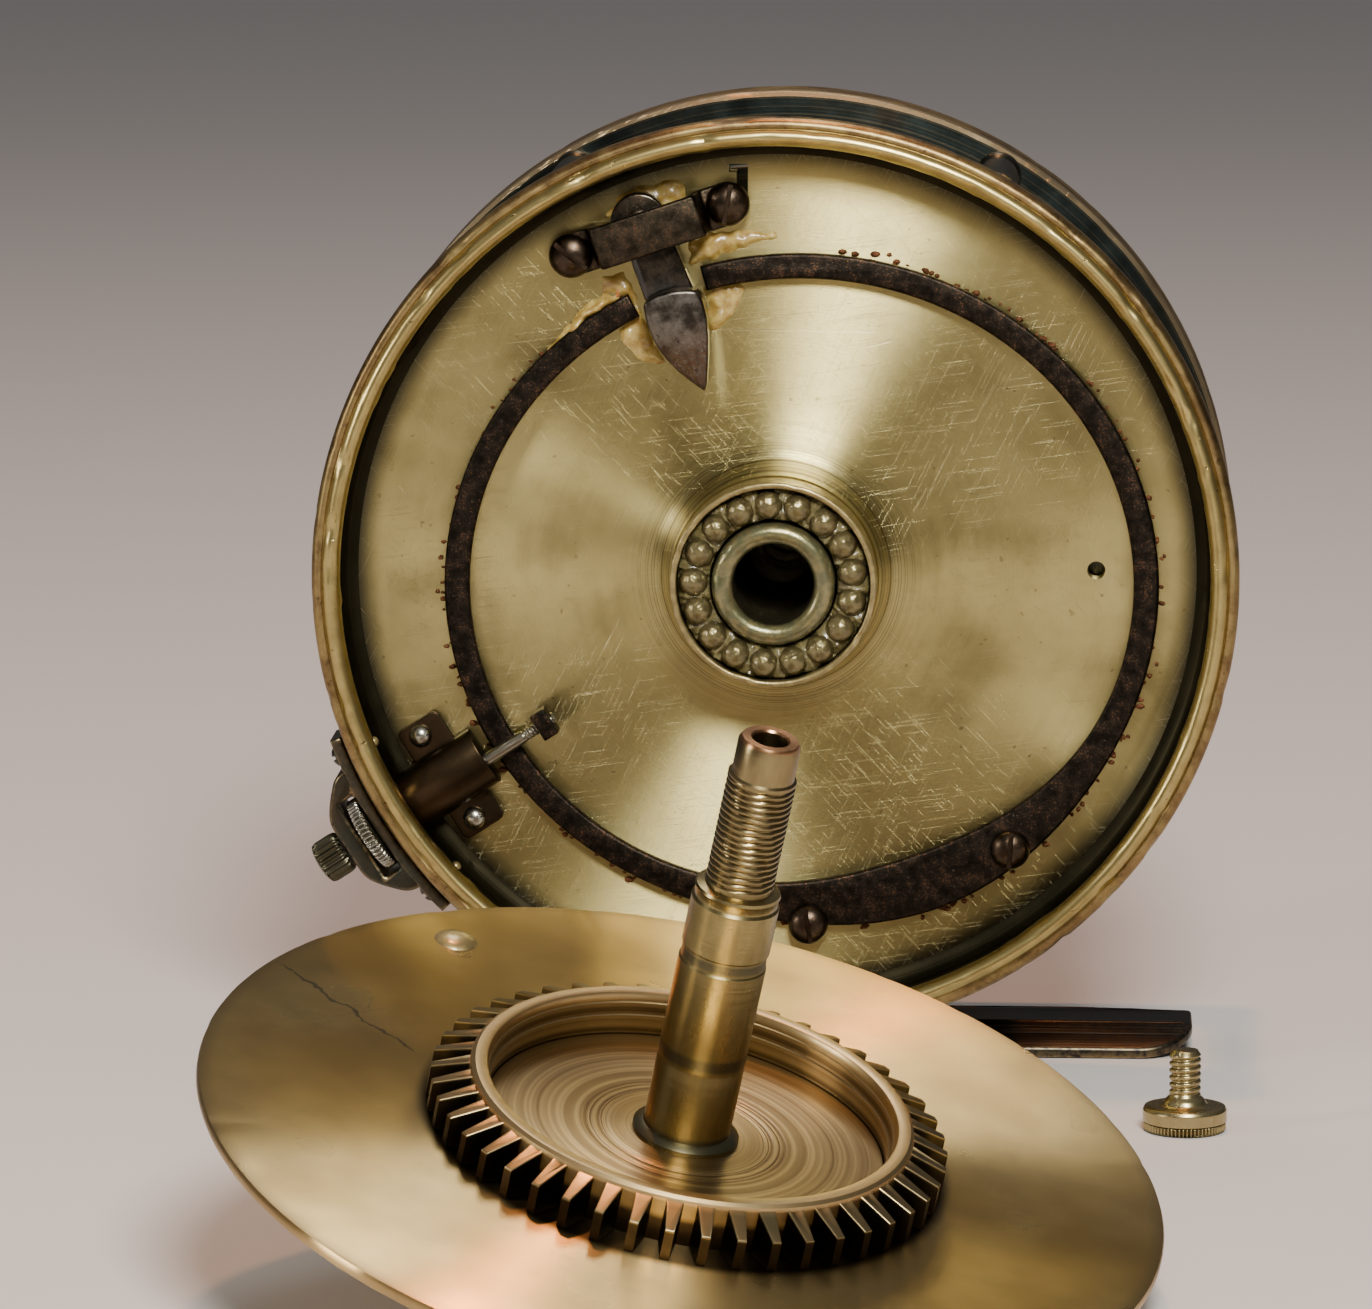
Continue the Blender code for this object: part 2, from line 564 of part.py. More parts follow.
def make_regulator_cover(axes, finishes):
    """The curved plate outside the wall, raised into a slotted housing round the wheel."""
    outline = arc((0, 0), COVER_OUTER, -COVER_HALF_ANGLE, COVER_HALF_ANGLE, 9)
    outline += arc((0, 0), COVER_INNER, COVER_HALF_ANGLE, -COVER_HALF_ANGLE, 9)
    cover = sheet("regulator_cover", [outline], -0.0100, -0.0022, axes, finishes["dark_brass"])
    top = HOUSING_OUTER
    shoulder = 0.0012
    bulge = [(COVER_INNER + 0.0004, -0.0078), (COVER_OUTER + 0.0006, -0.0076), (top - shoulder, -0.0054),
             (top, -0.0036), (top, 0.0036), (top - shoulder, 0.0054), (COVER_OUTER + 0.0006, 0.0076),
             (COVER_INNER + 0.0004, 0.0078)]
    raised = sheet_mesh("cover_bulge", [bulge], 0.0072)
    raised.transform(Matrix.Translation((0.0, 0.0, -0.0060)))
    combine(cover, raised, "UNION")
    slot_low = WHEEL_INNER - CLEARANCE
    slot_high = WHEEL_INNER + WHEEL_THICKNESS + CLEARANCE
    slot = box_mesh("wheel_slot", [((slot_low, -0.0048, -0.0110), (slot_high, 0.0048, 0.0010))])
    combine(cover, slot, "DIFFERENCE")
    bores = [((0.0530, 0.0, REGULATOR_HEIGHT), (1.0, 0.0, 0.0), 0.0110, 0.0010)]
    for side in (-1, 1):
        turn = side * COVER_RIVET_ANGLE
        spot = (*polar(0.0518, turn), COVER_RIVET_HEIGHT)
        bores.append((spot, (*polar(1.0, turn), 0.0), 0.004, RIVET_SHANK + CLEARANCE))
    combine(cover, rod_mesh("cover_bores", bores, 8), "DIFFERENCE")
    for i, side in enumerate((-1, 1)):
        turn = side * COVER_RIVET_ANGLE
        place = (*polar(COVER_OUTER + CLEARANCE / 3, turn), COVER_RIVET_HEIGHT)
        rivet(f"cover_rivet_{i + 1}", 0.0012, 0.0009, RIVET_SHANK, 0.0050, axes, finishes["dark_brass"],
              place, (0.0, math.radians(90.0), math.radians(turn)))


def make_rear_plate(reel, finishes):
    """Dished rear plate with its bush, and the pillars that hold it."""
    rim = 0.0478
    outline = [(0.0502, REAR_FACE), (RIM_RADIUS, -0.0386), (RIM_RADIUS, -0.0452), (0.0501, -REEL_DEPTH),
               (0.0488, -REEL_DEPTH), (rim, -0.0450), (0.0470, REAR_WEB), (0.0112, REAR_WEB),
               (0.0100, -0.0440), (0.0058, -0.0440), (0.0058, REAR_FACE)]
    plate = turned("rear_plate", outline, reel, finishes["dark_brass"], BIG_STEPS)
    rods = []
    for angle in pillar_angles():
        x, y = polar(PILLAR_RADIUS_AT, angle)
        floor = REAR_FACE - TENON_LENGTH - CLEARANCE
        rods.append(hole(x, y, floor, REAR_FACE + 0.001, TENON_RADIUS + CLEARANCE))
    drill(plate, rods, 8)
    bush = [(0.0055, REAR_FACE), (0.0055, -0.0442), (0.0030, -0.0442), (0.0030, REAR_FACE)]
    turned("rear_bush", bush, reel, finishes["gold"], HUB_STEPS)
    front = -HOUSING_BACK - CLEARANCE
    back = REAR_FACE + CLEARANCE
    pillar = [(0.0, front + TENON_LENGTH), (TENON_RADIUS, front + TENON_LENGTH), (TENON_RADIUS, front),
              (PILLAR_RADIUS, front), (PILLAR_RADIUS, back), (TENON_RADIUS, back),
              (TENON_RADIUS, back - TENON_LENGTH), (0.0, back - TENON_LENGTH)]
    for i, angle in enumerate(pillar_angles()):
        turned(f"pillar_{i + 1}", pillar, reel, finishes["dark_brass"], 12, False,
               (*polar(PILLAR_RADIUS_AT, angle), 0.0))


def make_foot(finishes):
    """The arched foot, the saddle that joins it to the cage and the two screws between them."""
    half = FOOT_WIDTH / 2
    flat = FOOT_FLAT / 2
    under = [(-half, -FOOT_ARCH), (-half * 0.72, -FOOT_ARCH * 0.42), (-flat, 0.0), (flat, 0.0),
             (half * 0.72, -FOOT_ARCH * 0.42), (half, -FOOT_ARCH)]
    over = [(half, -FOOT_ARCH + FOOT_THICKNESS * 0.8), (half * 0.72, -FOOT_ARCH * 0.42 + FOOT_THICKNESS),
            (flat, FOOT_THICKNESS), (-flat, FOOT_THICKNESS),
            (-half * 0.72, -FOOT_ARCH * 0.42 + FOOT_THICKNESS), (-half, -FOOT_ARCH + FOOT_THICKNESS * 0.8)]
    mesh = sheet_mesh("reel_foot", [under + over], FOOT_LENGTH)
    mesh.transform(Matrix.Rotation(math.radians(90.0), 4, "Z") @ Matrix.Rotation(math.radians(90.0), 4, "X"))
    foot = put("reel_foot", mesh, None, finishes["dark_brass"])
    corner = 0.0040
    reach_x = FOOT_LENGTH / 2 - corner
    reach_y = half - corner
    plan = []
    for i, (sign_x, sign_y) in enumerate(((1, 1), (-1, 1), (-1, -1), (1, -1))):
        centre = (sign_x * reach_x, sign_y * reach_y)
        plan += arc(centre, corner, 90.0 * i, 90.0 * i + 90.0, 6)
    blank = sheet_mesh("foot_plan", [plan], 0.02)
    combine(foot, blank, "INTERSECT")
    bore = FOOT_SCREW_RADIUS + CLEARANCE
    drill(foot, [hole(x, y, -0.003, 0.004, bore) for x, y in FOOT_SCREWS])
    front = FOOT_DEPTH - HOUSING_BACK - CLEARANCE
    back = FOOT_DEPTH + REAR_FACE + CLEARANCE
    hub = HUB_ABOVE_TABLE - FOOT_ARCH
    bottom = FOOT_THICKNESS + CLEARANCE / 3
    reach = SADDLE_LENGTH / 2
    lean = math.degrees(math.asin(reach / SADDLE_TOP_RADIUS))
    outline = arc((0.0, hub), SADDLE_TOP_RADIUS, 270.0 + lean, 270.0 - lean, 7)
    outline += [(-reach + 0.0015, bottom), (reach - 0.0015, bottom)]
    block = sheet_mesh("foot_saddle", [outline], front - back)
    block.transform(Matrix.Rotation(math.radians(90.0), 4, "X"))
    saddle = put("foot_saddle", block, None, finishes["dark_brass"], (0.0, -(front + back) / 2, 0.0))
    shift = (front + back) / 2
    drill(saddle, [hole(x, y + shift, 0.0, 0.0050, bore) for x, y in FOOT_SCREWS])
    top = 0.0046
    bottom = 0.0001
    shank = [(0.0, top), (FOOT_SCREW_RADIUS, top), (FOOT_SCREW_RADIUS, bottom), (0.0, bottom)]
    for i, (x, y) in enumerate(FOOT_SCREWS):
        turned(f"foot_screw_{i + 1}", shank, None, finishes["steel"], SMALL_STEPS, False, (x, y, 0.0))


def make_drum(reel, finishes):
    """The line drum, and the threaded bush that the spindle screws into."""
    front = DRUM_FRONT
    back = DRUM_BACK
    outline = [(DRUM_RADIUS - 0.0003, front), (DRUM_RADIUS, front - 0.0004),
               (DRUM_RADIUS, front - DRUM_FLANGE), (DRUM_ARBOR, front - DRUM_FLANGE),
               (DRUM_ARBOR, back + DRUM_FLANGE), (DRUM_RADIUS, back + DRUM_FLANGE),
               (DRUM_RADIUS, back + 0.0004), (DRUM_RADIUS - 0.0003, back), (DRUM_BORE, back),
               (DRUM_BORE, front)]
    turned("line_drum", outline, reel, finishes["brass"], BIG_STEPS)
    outer = DRUM_BORE - CLEARANCE / 2
    bush = [(outer, front - 0.0004), (outer, back + 0.0002), (0.0036, back + 0.0002), (0.0036, back + 0.0120),
            (0.0047, back + 0.0132), (0.0047, front - 0.0004)]
    turned("drum_bush", bush, reel, finishes["gold"], HUB_STEPS)


def make_handle_plate(finishes):
    """The plate that turns the reel, lying on its handle with its inner side up."""
    downhill = math.radians(PLATE_DOWNHILL)
    tilt_axis = Vector((-math.sin(downhill), math.cos(downhill), 0.0))
    lean = Matrix.Rotation(math.radians(PLATE_TILT), 3, tilt_axis)
    axes = empty("plate_axis", PLATE_CENTRE, lean.to_euler())
    plate = [(PLATE_RADIUS - 0.0004, 0.0), (PLATE_RADIUS, -0.0004), (PLATE_RADIUS, -PLATE_THICKNESS + 0.0004),
             (PLATE_RADIUS - 0.0004, -PLATE_THICKNESS), (OUTER_BOSS_RADIUS + 0.0006, -PLATE_THICKNESS),
             (OUTER_BOSS_RADIUS, OUTER_BOSS_FACE), (0.0026, OUTER_BOSS_FACE), (0.0026, RACE_FLOOR),
             (RACE_RADIUS, RACE_FLOOR), (RACE_RADIUS, 0.0)]
    disc = turned("face_plate", plate, axes, finishes["gold"], BIG_STEPS)
    # lean turns the axes without spinning them, so uphill is still the opposite of downhill
    handle_x, handle_y = polar(HANDLE_RADIUS_AT, PLATE_DOWNHILL + 180.0)
    drill(disc, [hole(handle_x, handle_y, -0.004, 0.002, HANDLE_PIN_RADIUS + CLEARANCE)])
    teeth = []
    for i in range(RATCHET_TEETH):
        teeth.append(polar(RATCHET_ROOT, 360.0 / RATCHET_TEETH * i))
        teeth.append(polar(RATCHET_TIP, 360.0 / RATCHET_TEETH * (i + 0.5)))
    bore = arc((0.0, 0.0), RATCHET_BORE, 0.0, 352.5, 48)
    sheet("ratchet_ring", [teeth, bore], CLEARANCE / 3, RATCHET_HEIGHT, axes, finishes["gold"])
    tip = SPINDLE_TIP
    seat = RACE_FLOOR + CLEARANCE / 3
    spindle = [(0.0, tip - 0.0070), (0.00175, tip - 0.0070), (0.00175, tip), (0.0028, tip),
               (SPINDLE_THREAD_RADIUS, tip - 0.0006), (SPINDLE_THREAD_RADIUS, SPINDLE_SHOULDER + 0.0003),
               (SPINDLE_RADIUS - 0.0003, SPINDLE_SHOULDER), (SPINDLE_RADIUS, SPINDLE_SHOULDER - 0.0003),
               (SPINDLE_RADIUS, seat + 0.0009), (SPINDLE_RADIUS + 0.0004, seat), (0.0023, seat),
               (0.0023, OUTER_BOSS_FACE), (0.0, OUTER_BOSS_FACE)]
    turned("spindle", spindle, axes, finishes["gold"], HUB_STEPS, False)
    make_handle(axes, (handle_x, handle_y, 0.0), finishes)


def make_handle(axes, place, finishes):
    """The pin riveted through the plate and the knob that turns on it."""
    end = HANDLE_BOTTOM
    recess = end + 0.0016
    pin = [(0.0, 0.0007), (0.0010, 0.0006), (0.0022, CLEARANCE / 3), (HANDLE_PIN_RADIUS, CLEARANCE / 3),
           (HANDLE_PIN_RADIUS, recess - CLEARANCE), (0.0027, recess - CLEARANCE), (0.0027, end + 0.0004),
           (0.0022, end + 0.0002), (0.0, end + 0.0002)]
    turned("handle_pin", pin, axes, finishes["gold"], SMALL_STEPS, False, place)
    top = -PLATE_THICKNESS - CLEARANCE
    bore = HANDLE_PIN_RADIUS + CLEARANCE
    knob = [(0.0042, top), (0.0050, top - 0.0006), (0.0044, top - 0.0040), (0.0040, top - 0.0090),
            (0.0048, top - 0.0150), (0.0060, top - 0.0205), (0.0062, end + 0.0034), (0.0054, end + 0.0010),
            (0.0044, end), (0.0030, end), (0.0030, recess), (bore, recess), (bore, top)]
    turned("handle_knob", knob, axes, finishes["wood"], 16, True, place)


def make_thumb_screw(finishes):
    """The knurled screw that holds the spindle, standing on its head."""
    axes = empty("thumb_axis", (*THUMB_PLACE, -FOOT_ARCH), (0.0, 0.0, 0.0))
    head = THUMB_HEAD_RADIUS
    deep = THUMB_HEAD_HEIGHT
    stud = THUMB_STUD_RADIUS
    outline = [(0.0, THUMB_LENGTH), (stud * 0.72, THUMB_LENGTH), (stud, THUMB_LENGTH - 0.0006),
               (stud, deep + 0.0010), (stud * 1.35, deep + 0.0003), (stud * 1.5, deep), (head - 0.0006, deep),
               (head - 0.0002, deep - 0.0004), (head - 0.0002, 0.0014), (head, 0.0013), (head, 0.0002),
               (head - 0.0003, 0.0), (0.0, 0.0)]
    turned("thumb_screw", outline, axes, finishes["silver"], 20, False)


def main():
    finishes = make_materials()
    hub_height = HUB_ABOVE_TABLE - FOOT_ARCH
    reel = empty("reel_axis", (0.0, -FOOT_DEPTH, hub_height), (math.radians(90.0), 0.0, 0.0))
    make_check_housing(reel, finishes["brass"])
    make_ball_race(reel, finishes)
    make_pawl(reel, finishes)
    make_bridge(reel, finishes)
    make_check_spring(reel, finishes)
    make_regulator(reel, finishes)
    make_rear_plate(reel, finishes)
    make_drum(reel, finishes)
    make_foot(finishes)
    make_handle_plate(finishes)
    make_thumb_screw(finishes)


clear_scene()
PARTS = new_collection(OBJECT_NAME)
CUTTERS = new_collection("cutters")
CUTTERS.hide_render = True
main()
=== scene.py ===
"""The looks of the dismantled fly reel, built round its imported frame.

Lengths in this script are millimetres in each piece's own frame, and meshes are scaled to metres as
they are made. The reel frame has its origin at the hub on the front plane, +X to the right, +Y up and
+Z out of the front. The plate frame has +Z along the spindle, and the regulator frame +Z outward.
"""

import json
import math

import bmesh
import bpy
import numpy as np
from mathutils import Matrix, Vector, noise


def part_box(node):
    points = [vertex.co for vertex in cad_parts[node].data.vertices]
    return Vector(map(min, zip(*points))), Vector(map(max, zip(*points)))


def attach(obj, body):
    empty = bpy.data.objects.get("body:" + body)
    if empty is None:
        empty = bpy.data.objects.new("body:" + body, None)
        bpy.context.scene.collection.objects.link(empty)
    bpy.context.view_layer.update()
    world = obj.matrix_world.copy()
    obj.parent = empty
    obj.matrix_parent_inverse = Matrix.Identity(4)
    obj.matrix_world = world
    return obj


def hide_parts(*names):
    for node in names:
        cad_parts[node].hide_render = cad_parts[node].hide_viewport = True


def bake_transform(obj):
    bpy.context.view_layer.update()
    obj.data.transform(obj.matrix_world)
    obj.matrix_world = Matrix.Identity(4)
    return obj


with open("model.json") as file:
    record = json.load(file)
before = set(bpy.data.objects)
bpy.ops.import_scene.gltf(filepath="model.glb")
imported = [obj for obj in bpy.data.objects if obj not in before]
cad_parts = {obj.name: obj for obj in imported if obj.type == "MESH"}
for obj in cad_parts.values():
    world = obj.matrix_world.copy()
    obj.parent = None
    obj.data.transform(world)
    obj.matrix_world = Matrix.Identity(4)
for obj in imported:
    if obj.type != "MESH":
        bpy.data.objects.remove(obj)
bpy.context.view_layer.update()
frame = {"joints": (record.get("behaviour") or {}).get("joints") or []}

MM = 0.001
JOINTS = {joint["name"]: joint for joint in frame["joints"]}

# Frames of the three groups of pieces, taken from the joints
HUB = Vector(JOINTS["drum_spin"]["pos_m"])
REEL = Matrix.Translation(HUB) @ Matrix.Rotation(math.radians(90.0), 4, "X")
HANDLE_AXIS = Vector(JOINTS["handle_spin"]["axis"]).normalized()
HANDLE_RADIUS_AT = 41.0
UPHILL = (Vector((0.0, 0.0, 1.0)) - HANDLE_AXIS * HANDLE_AXIS.z).normalized()
PLATE_CENTRE = Vector(JOINTS["handle_spin"]["pos_m"]) - UPHILL * HANDLE_RADIUS_AT * MM
PLATE_LEAN = Vector((0.0, 0.0, 1.0)).rotation_difference(HANDLE_AXIS).to_matrix().to_4x4()
PLATE = Matrix.Translation(PLATE_CENTRE) @ PLATE_LEAN
REGULATOR_ANGLE = 213.0
REGULATOR_HEIGHT = -4.9
REGULATOR = REEL @ Matrix.Rotation(math.radians(REGULATOR_ANGLE), 4, "Z")
OUTWARD = (REGULATOR @ Matrix.Translation((0.0, 0.0, REGULATOR_HEIGHT * MM))
           @ Matrix.Rotation(math.radians(90.0), 4, "Y"))
THUMB_LOW, THUMB_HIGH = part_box("thumb_screw")
FLOOR = THUMB_LOW.z
THUMB = Matrix.Translation(((THUMB_LOW.x + THUMB_HIGH.x) / 2, (THUMB_LOW.y + THUMB_HIGH.y) / 2, FLOOR))
WORLD = Matrix.Identity(4)

# Sizes, angles and counts
FACE = -8.0
SEAT = -7.7
PILLAR_RADIUS_AT = 47.8
PILLAR_COUNT = 6
BALL_COUNT = 17
BALL_RADIUS = 1.5875
BALL_PITCH_RADIUS = 8.75
PAWL_ANGLE = 111.0
PAWL_PIVOT_RADIUS_AT = 41.8
BRIDGE_LEFT = (-22.51, 35.08)
BRIDGE_RIGHT = (-5.35, 40.86)
SPRING_SCREWS = ((25.95, -30.48), (3.66, -39.12))
SPRING_CENTRE = (2.75, -1.33)
SPRING_RADII = (37.95, 35.4)
SPRING_THICKEST = 292.0
SPRING_SPLIT = 294.5
CRUMB_COUNT = 170
TEETH = 46
TOOTH_ROOT = 21.4
TOOTH_TIP = 25.3

# The camera, in metres and degrees, and its lens in millimetres
LENS = 194.96
CAMERA_AT = (0.0312, -0.8261, 0.1704)
CAMERA_TURN = (81.19, 0.0, 2.91)


# ---------------------------------------------------------------- shapes


def noise_at(x, y, z, size):
    """Smooth noise from about -1 to 1 at a point, with lumps of about the given size."""
    return noise.noise(Vector((x / size, y / size, z / size)))


def polar(radius, degrees):
    """A point on the face of the reel."""
    return radius * math.cos(math.radians(degrees)), radius * math.sin(math.radians(degrees))


def moved(x, y, z=0.0, turn=0.0, base=REEL):
    """A frame at a point of another frame, turned about its Z."""
    return base @ Matrix.Translation((x * MM, y * MM, z * MM)) @ rotation(turn, "Z")


def arc(cx, cy, radius, start, end, count):
    """Points along a circular arc, from one angle to another."""
    turns = np.radians(np.linspace(start, end, count))
    return [(cx + radius * math.cos(t), cy + radius * math.sin(t)) for t in turns]


def rounded(points, radius, closed=True, count=4):
    """An outline with each corner rounded off."""
    result = []
    last = len(points) - 1
    for i, point in enumerate(points):
        here = Vector(point)
        if not closed and i in (0, last):
            result.append(tuple(here))
            continue
        before = Vector(points[i - 1]) - here
        after = Vector(points[(i + 1) % len(points)]) - here
        reach = min(radius, before.length * 0.45, after.length * 0.45)
        start = here + before.normalized() * reach
        end = here + after.normalized() * reach
        for t in np.linspace(0.0, 1.0, count):
            result.append(tuple(start * (1 - t) ** 2 + here * 2 * t * (1 - t) + end * t * t))
    return result


def dense(points, spacing, closed=False):
    """An outline with no stretch longer than spacing."""
    result = []
    pairs = zip(points, points[1:] + points[:1] if closed else points[1:])
    for a, b in pairs:
        count = max(1, math.ceil(math.dist(a, b) / spacing))
        for i in range(count):
            result.append((a[0] + (b[0] - a[0]) * i / count, a[1] + (b[1] - a[1]) * i / count))
    if not closed:
        result.append(tuple(points[-1]))
    return result


def rotation(degrees, axis):
    """A rotation about one axis."""
    return Matrix.Rotation(math.radians(degrees), 4, axis)


def added(name, data):
    """A new object in the scene."""
    item = bpy.data.objects.new(name, data)
    bpy.context.scene.collection.objects.link(item)
    return item


def flattened(item):
    """The mesh of an object as its curve or modifiers shape it. The object is removed."""
    ready = item.evaluated_get(bpy.context.evaluated_depsgraph_get())
    mesh = bpy.data.meshes.new_from_object(ready)
    bpy.data.objects.remove(item, do_unlink=True)
    return mesh


def place(name, mesh, node, finish, matrix=REEL, body="reel_body", paint=None, angle=35.0):
    """Make a mesh in millimetres into a piece that rides on a body and stands for a node of the frame.

    paint gives the number of the finish at a point, and is asked about the middle of every face.
    """
    mesh.name = name
    for label in finish.split():
        mesh.materials.append(FINISHES[label])
    if paint:
        for face in mesh.polygons:
            face.material_index = paint(*face.center)
    mesh.transform(Matrix.Scale(MM, 4))
    mesh.shade_smooth()
    mesh.set_sharp_from_angle(angle=math.radians(angle))
    piece = added(name, mesh)
    piece.matrix_world = matrix
    if body:
        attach(piece, body)
    if node:
        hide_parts(node)
    return piece


def clean(mesh, distance=0.0002):
    """Merge points that fall together and turn every face outward."""
    work = bmesh.new()
    work.from_mesh(mesh)
    bmesh.ops.remove_doubles(work, verts=work.verts, dist=distance)
    bmesh.ops.recalc_face_normals(work, faces=work.faces)
    return solid(work)


def solid(work):
    """A mesh made from a bmesh, which is freed."""
    mesh = bpy.data.meshes.new("shape")
    work.to_mesh(mesh)
    work.free()
    return mesh


def revolve(outline, steps, closed=False, warp=None):
    """Turn an outline of (radius, height) round local Z. warp may reshape it by angle."""
    points = np.array(outline, float)
    turns = np.linspace(0.0, 2 * math.pi, steps, endpoint=False)
    r = np.repeat(points[:, :1], steps, axis=1)
    z = np.repeat(points[:, 1:], steps, axis=1)
    a = np.repeat(turns[None, :], len(points), axis=0)
    if warp:
        r, z = warp(r, a, z)
    co = np.stack([r * np.cos(a), r * np.sin(a), z], -1).reshape(-1, 3)
    rows = len(points)
    faces = []
    for i in range(rows if closed else rows - 1):
        k = (i + 1) % rows
        for j in range(steps):
            m = (j + 1) % steps
            faces.append((i * steps + j, i * steps + m, k * steps + m, k * steps + j))
    mesh = bpy.data.meshes.new("turned")
    mesh.from_pydata(co.tolist(), [], faces)
    return clean(mesh)


def slab(outlines, low, high, bevel):
    """A flat outline, with holes, between two heights, with rounded edges."""
    curve = bpy.data.curves.new("outline", "CURVE")
    curve.dimensions = "2D"
    curve.fill_mode = "BOTH"
    curve.extrude = (high - low) / 2 - bevel
    curve.bevel_depth = bevel
    curve.bevel_resolution = 2
    curve.offset = -bevel
    for outline in outlines:
        spline = curve.splines.new("POLY")
        spline.points.add(len(outline) - 1)
        for point, (x, y) in zip(spline.points, outline):
            point.co = (x, y, 0.0, 1.0)
        spline.use_cyclic_u = True
    mesh = flattened(added("outline", curve))
    mesh.materials.clear()
    mesh.transform(Matrix.Translation((0.0, 0.0, (low + high) / 2)))
    return clean(mesh, 0.0005)


def carve(mesh, tools, operation="DIFFERENCE"):
    """Cut other meshes out of this one, or join them on."""
    for tool in tools:
        holder = added("carved", mesh)
        cutter = added("cutter", tool)
        boolean = holder.modifiers.new("cut", "BOOLEAN")
        boolean.operation = operation
        boolean.solver = "EXACT"
        boolean.object = cutter
        mesh = flattened(holder)
        bpy.data.objects.remove(cutter, do_unlink=True)
    return mesh


def joined(meshes):
    """Several meshes in one, left as separate shells."""
    work = bmesh.new()
    for part in meshes:
        work.from_mesh(part)
    return solid(work)


def dome(radius, height, edge, count):
    """The outline of a domed head, from its middle to its edge."""
    return [(radius * x, height * y) for x, y in arc(0.0, 0.0, 1.0, 90.0, edge, count)]


def rod(x, y, low, high, radius):
    """A plain pin along Z, for cutting holes."""
    mesh = revolve([(0.0, low), (radius, low), (radius, high), (0.0, high)], 48)
    mesh.transform(Matrix.Translation((x, y, 0.0)))
    return mesh


def block(low, high):
    """A plain box, for cutting slots."""
    work = bmesh.new()
    size = Vector(high) - Vector(low)
    middle = (Vector(high) + Vector(low)) / 2
    shape = Matrix.Translation(middle) @ Matrix.Diagonal((*size, 1.0))
    bmesh.ops.create_cube(work, size=1.0, matrix=shape)
    return solid(work)


def thread(outer, depth, pitch, low, high):
    """A warp that cuts a screw thread into the part of a turned piece between two heights."""
    def cut(r, a, z):
        inside = (z > low) & (z < high) & (r > outer * 0.97)
        phase = np.mod(z / pitch - a / (2 * math.pi), 1.0)
        groove = np.clip(1.35 - np.abs(phase - 0.5) * 4.2, 0.0, 1.0)
        fade = np.clip(np.minimum(z - low, high - z) / (pitch * 0.5), 0.0, 1.0)
        return np.where(inside, r - depth * groove * fade, r), z
    return cut


def fluted(count, depth, low, high, sharp):
    """A warp that cuts grooves along a turned piece between two heights."""
    def cut(r, a, z):
        wave = (0.5 + 0.5 * np.cos(a * count)) ** sharp
        inside = (z > low) & (z < high)
        return np.where(inside, r - depth * wave, r), z
    return cut


def dented(amount, size, inner, seed=0.0):
    """A warp that makes a turned piece slightly uneven, as handling does."""
    def bend(r, a, z):
        shift = np.zeros_like(r)
        for i in range(r.shape[0]):
            for j in range(r.shape[1]):
                if r[i, j] > inner:
                    x = r[i, j] * math.cos(a[i, j])
                    y = r[i, j] * math.sin(a[i, j])
                    shift[i, j] = noise_at(x + seed, y, z[i, j], size)
        sunk = np.clip(-shift - 0.25, 0.0, 1.0) * 2.2 * amount
        return r - sunk * 0.5, z - sunk
    return bend


# ---------------------------------------------------------------- finishes


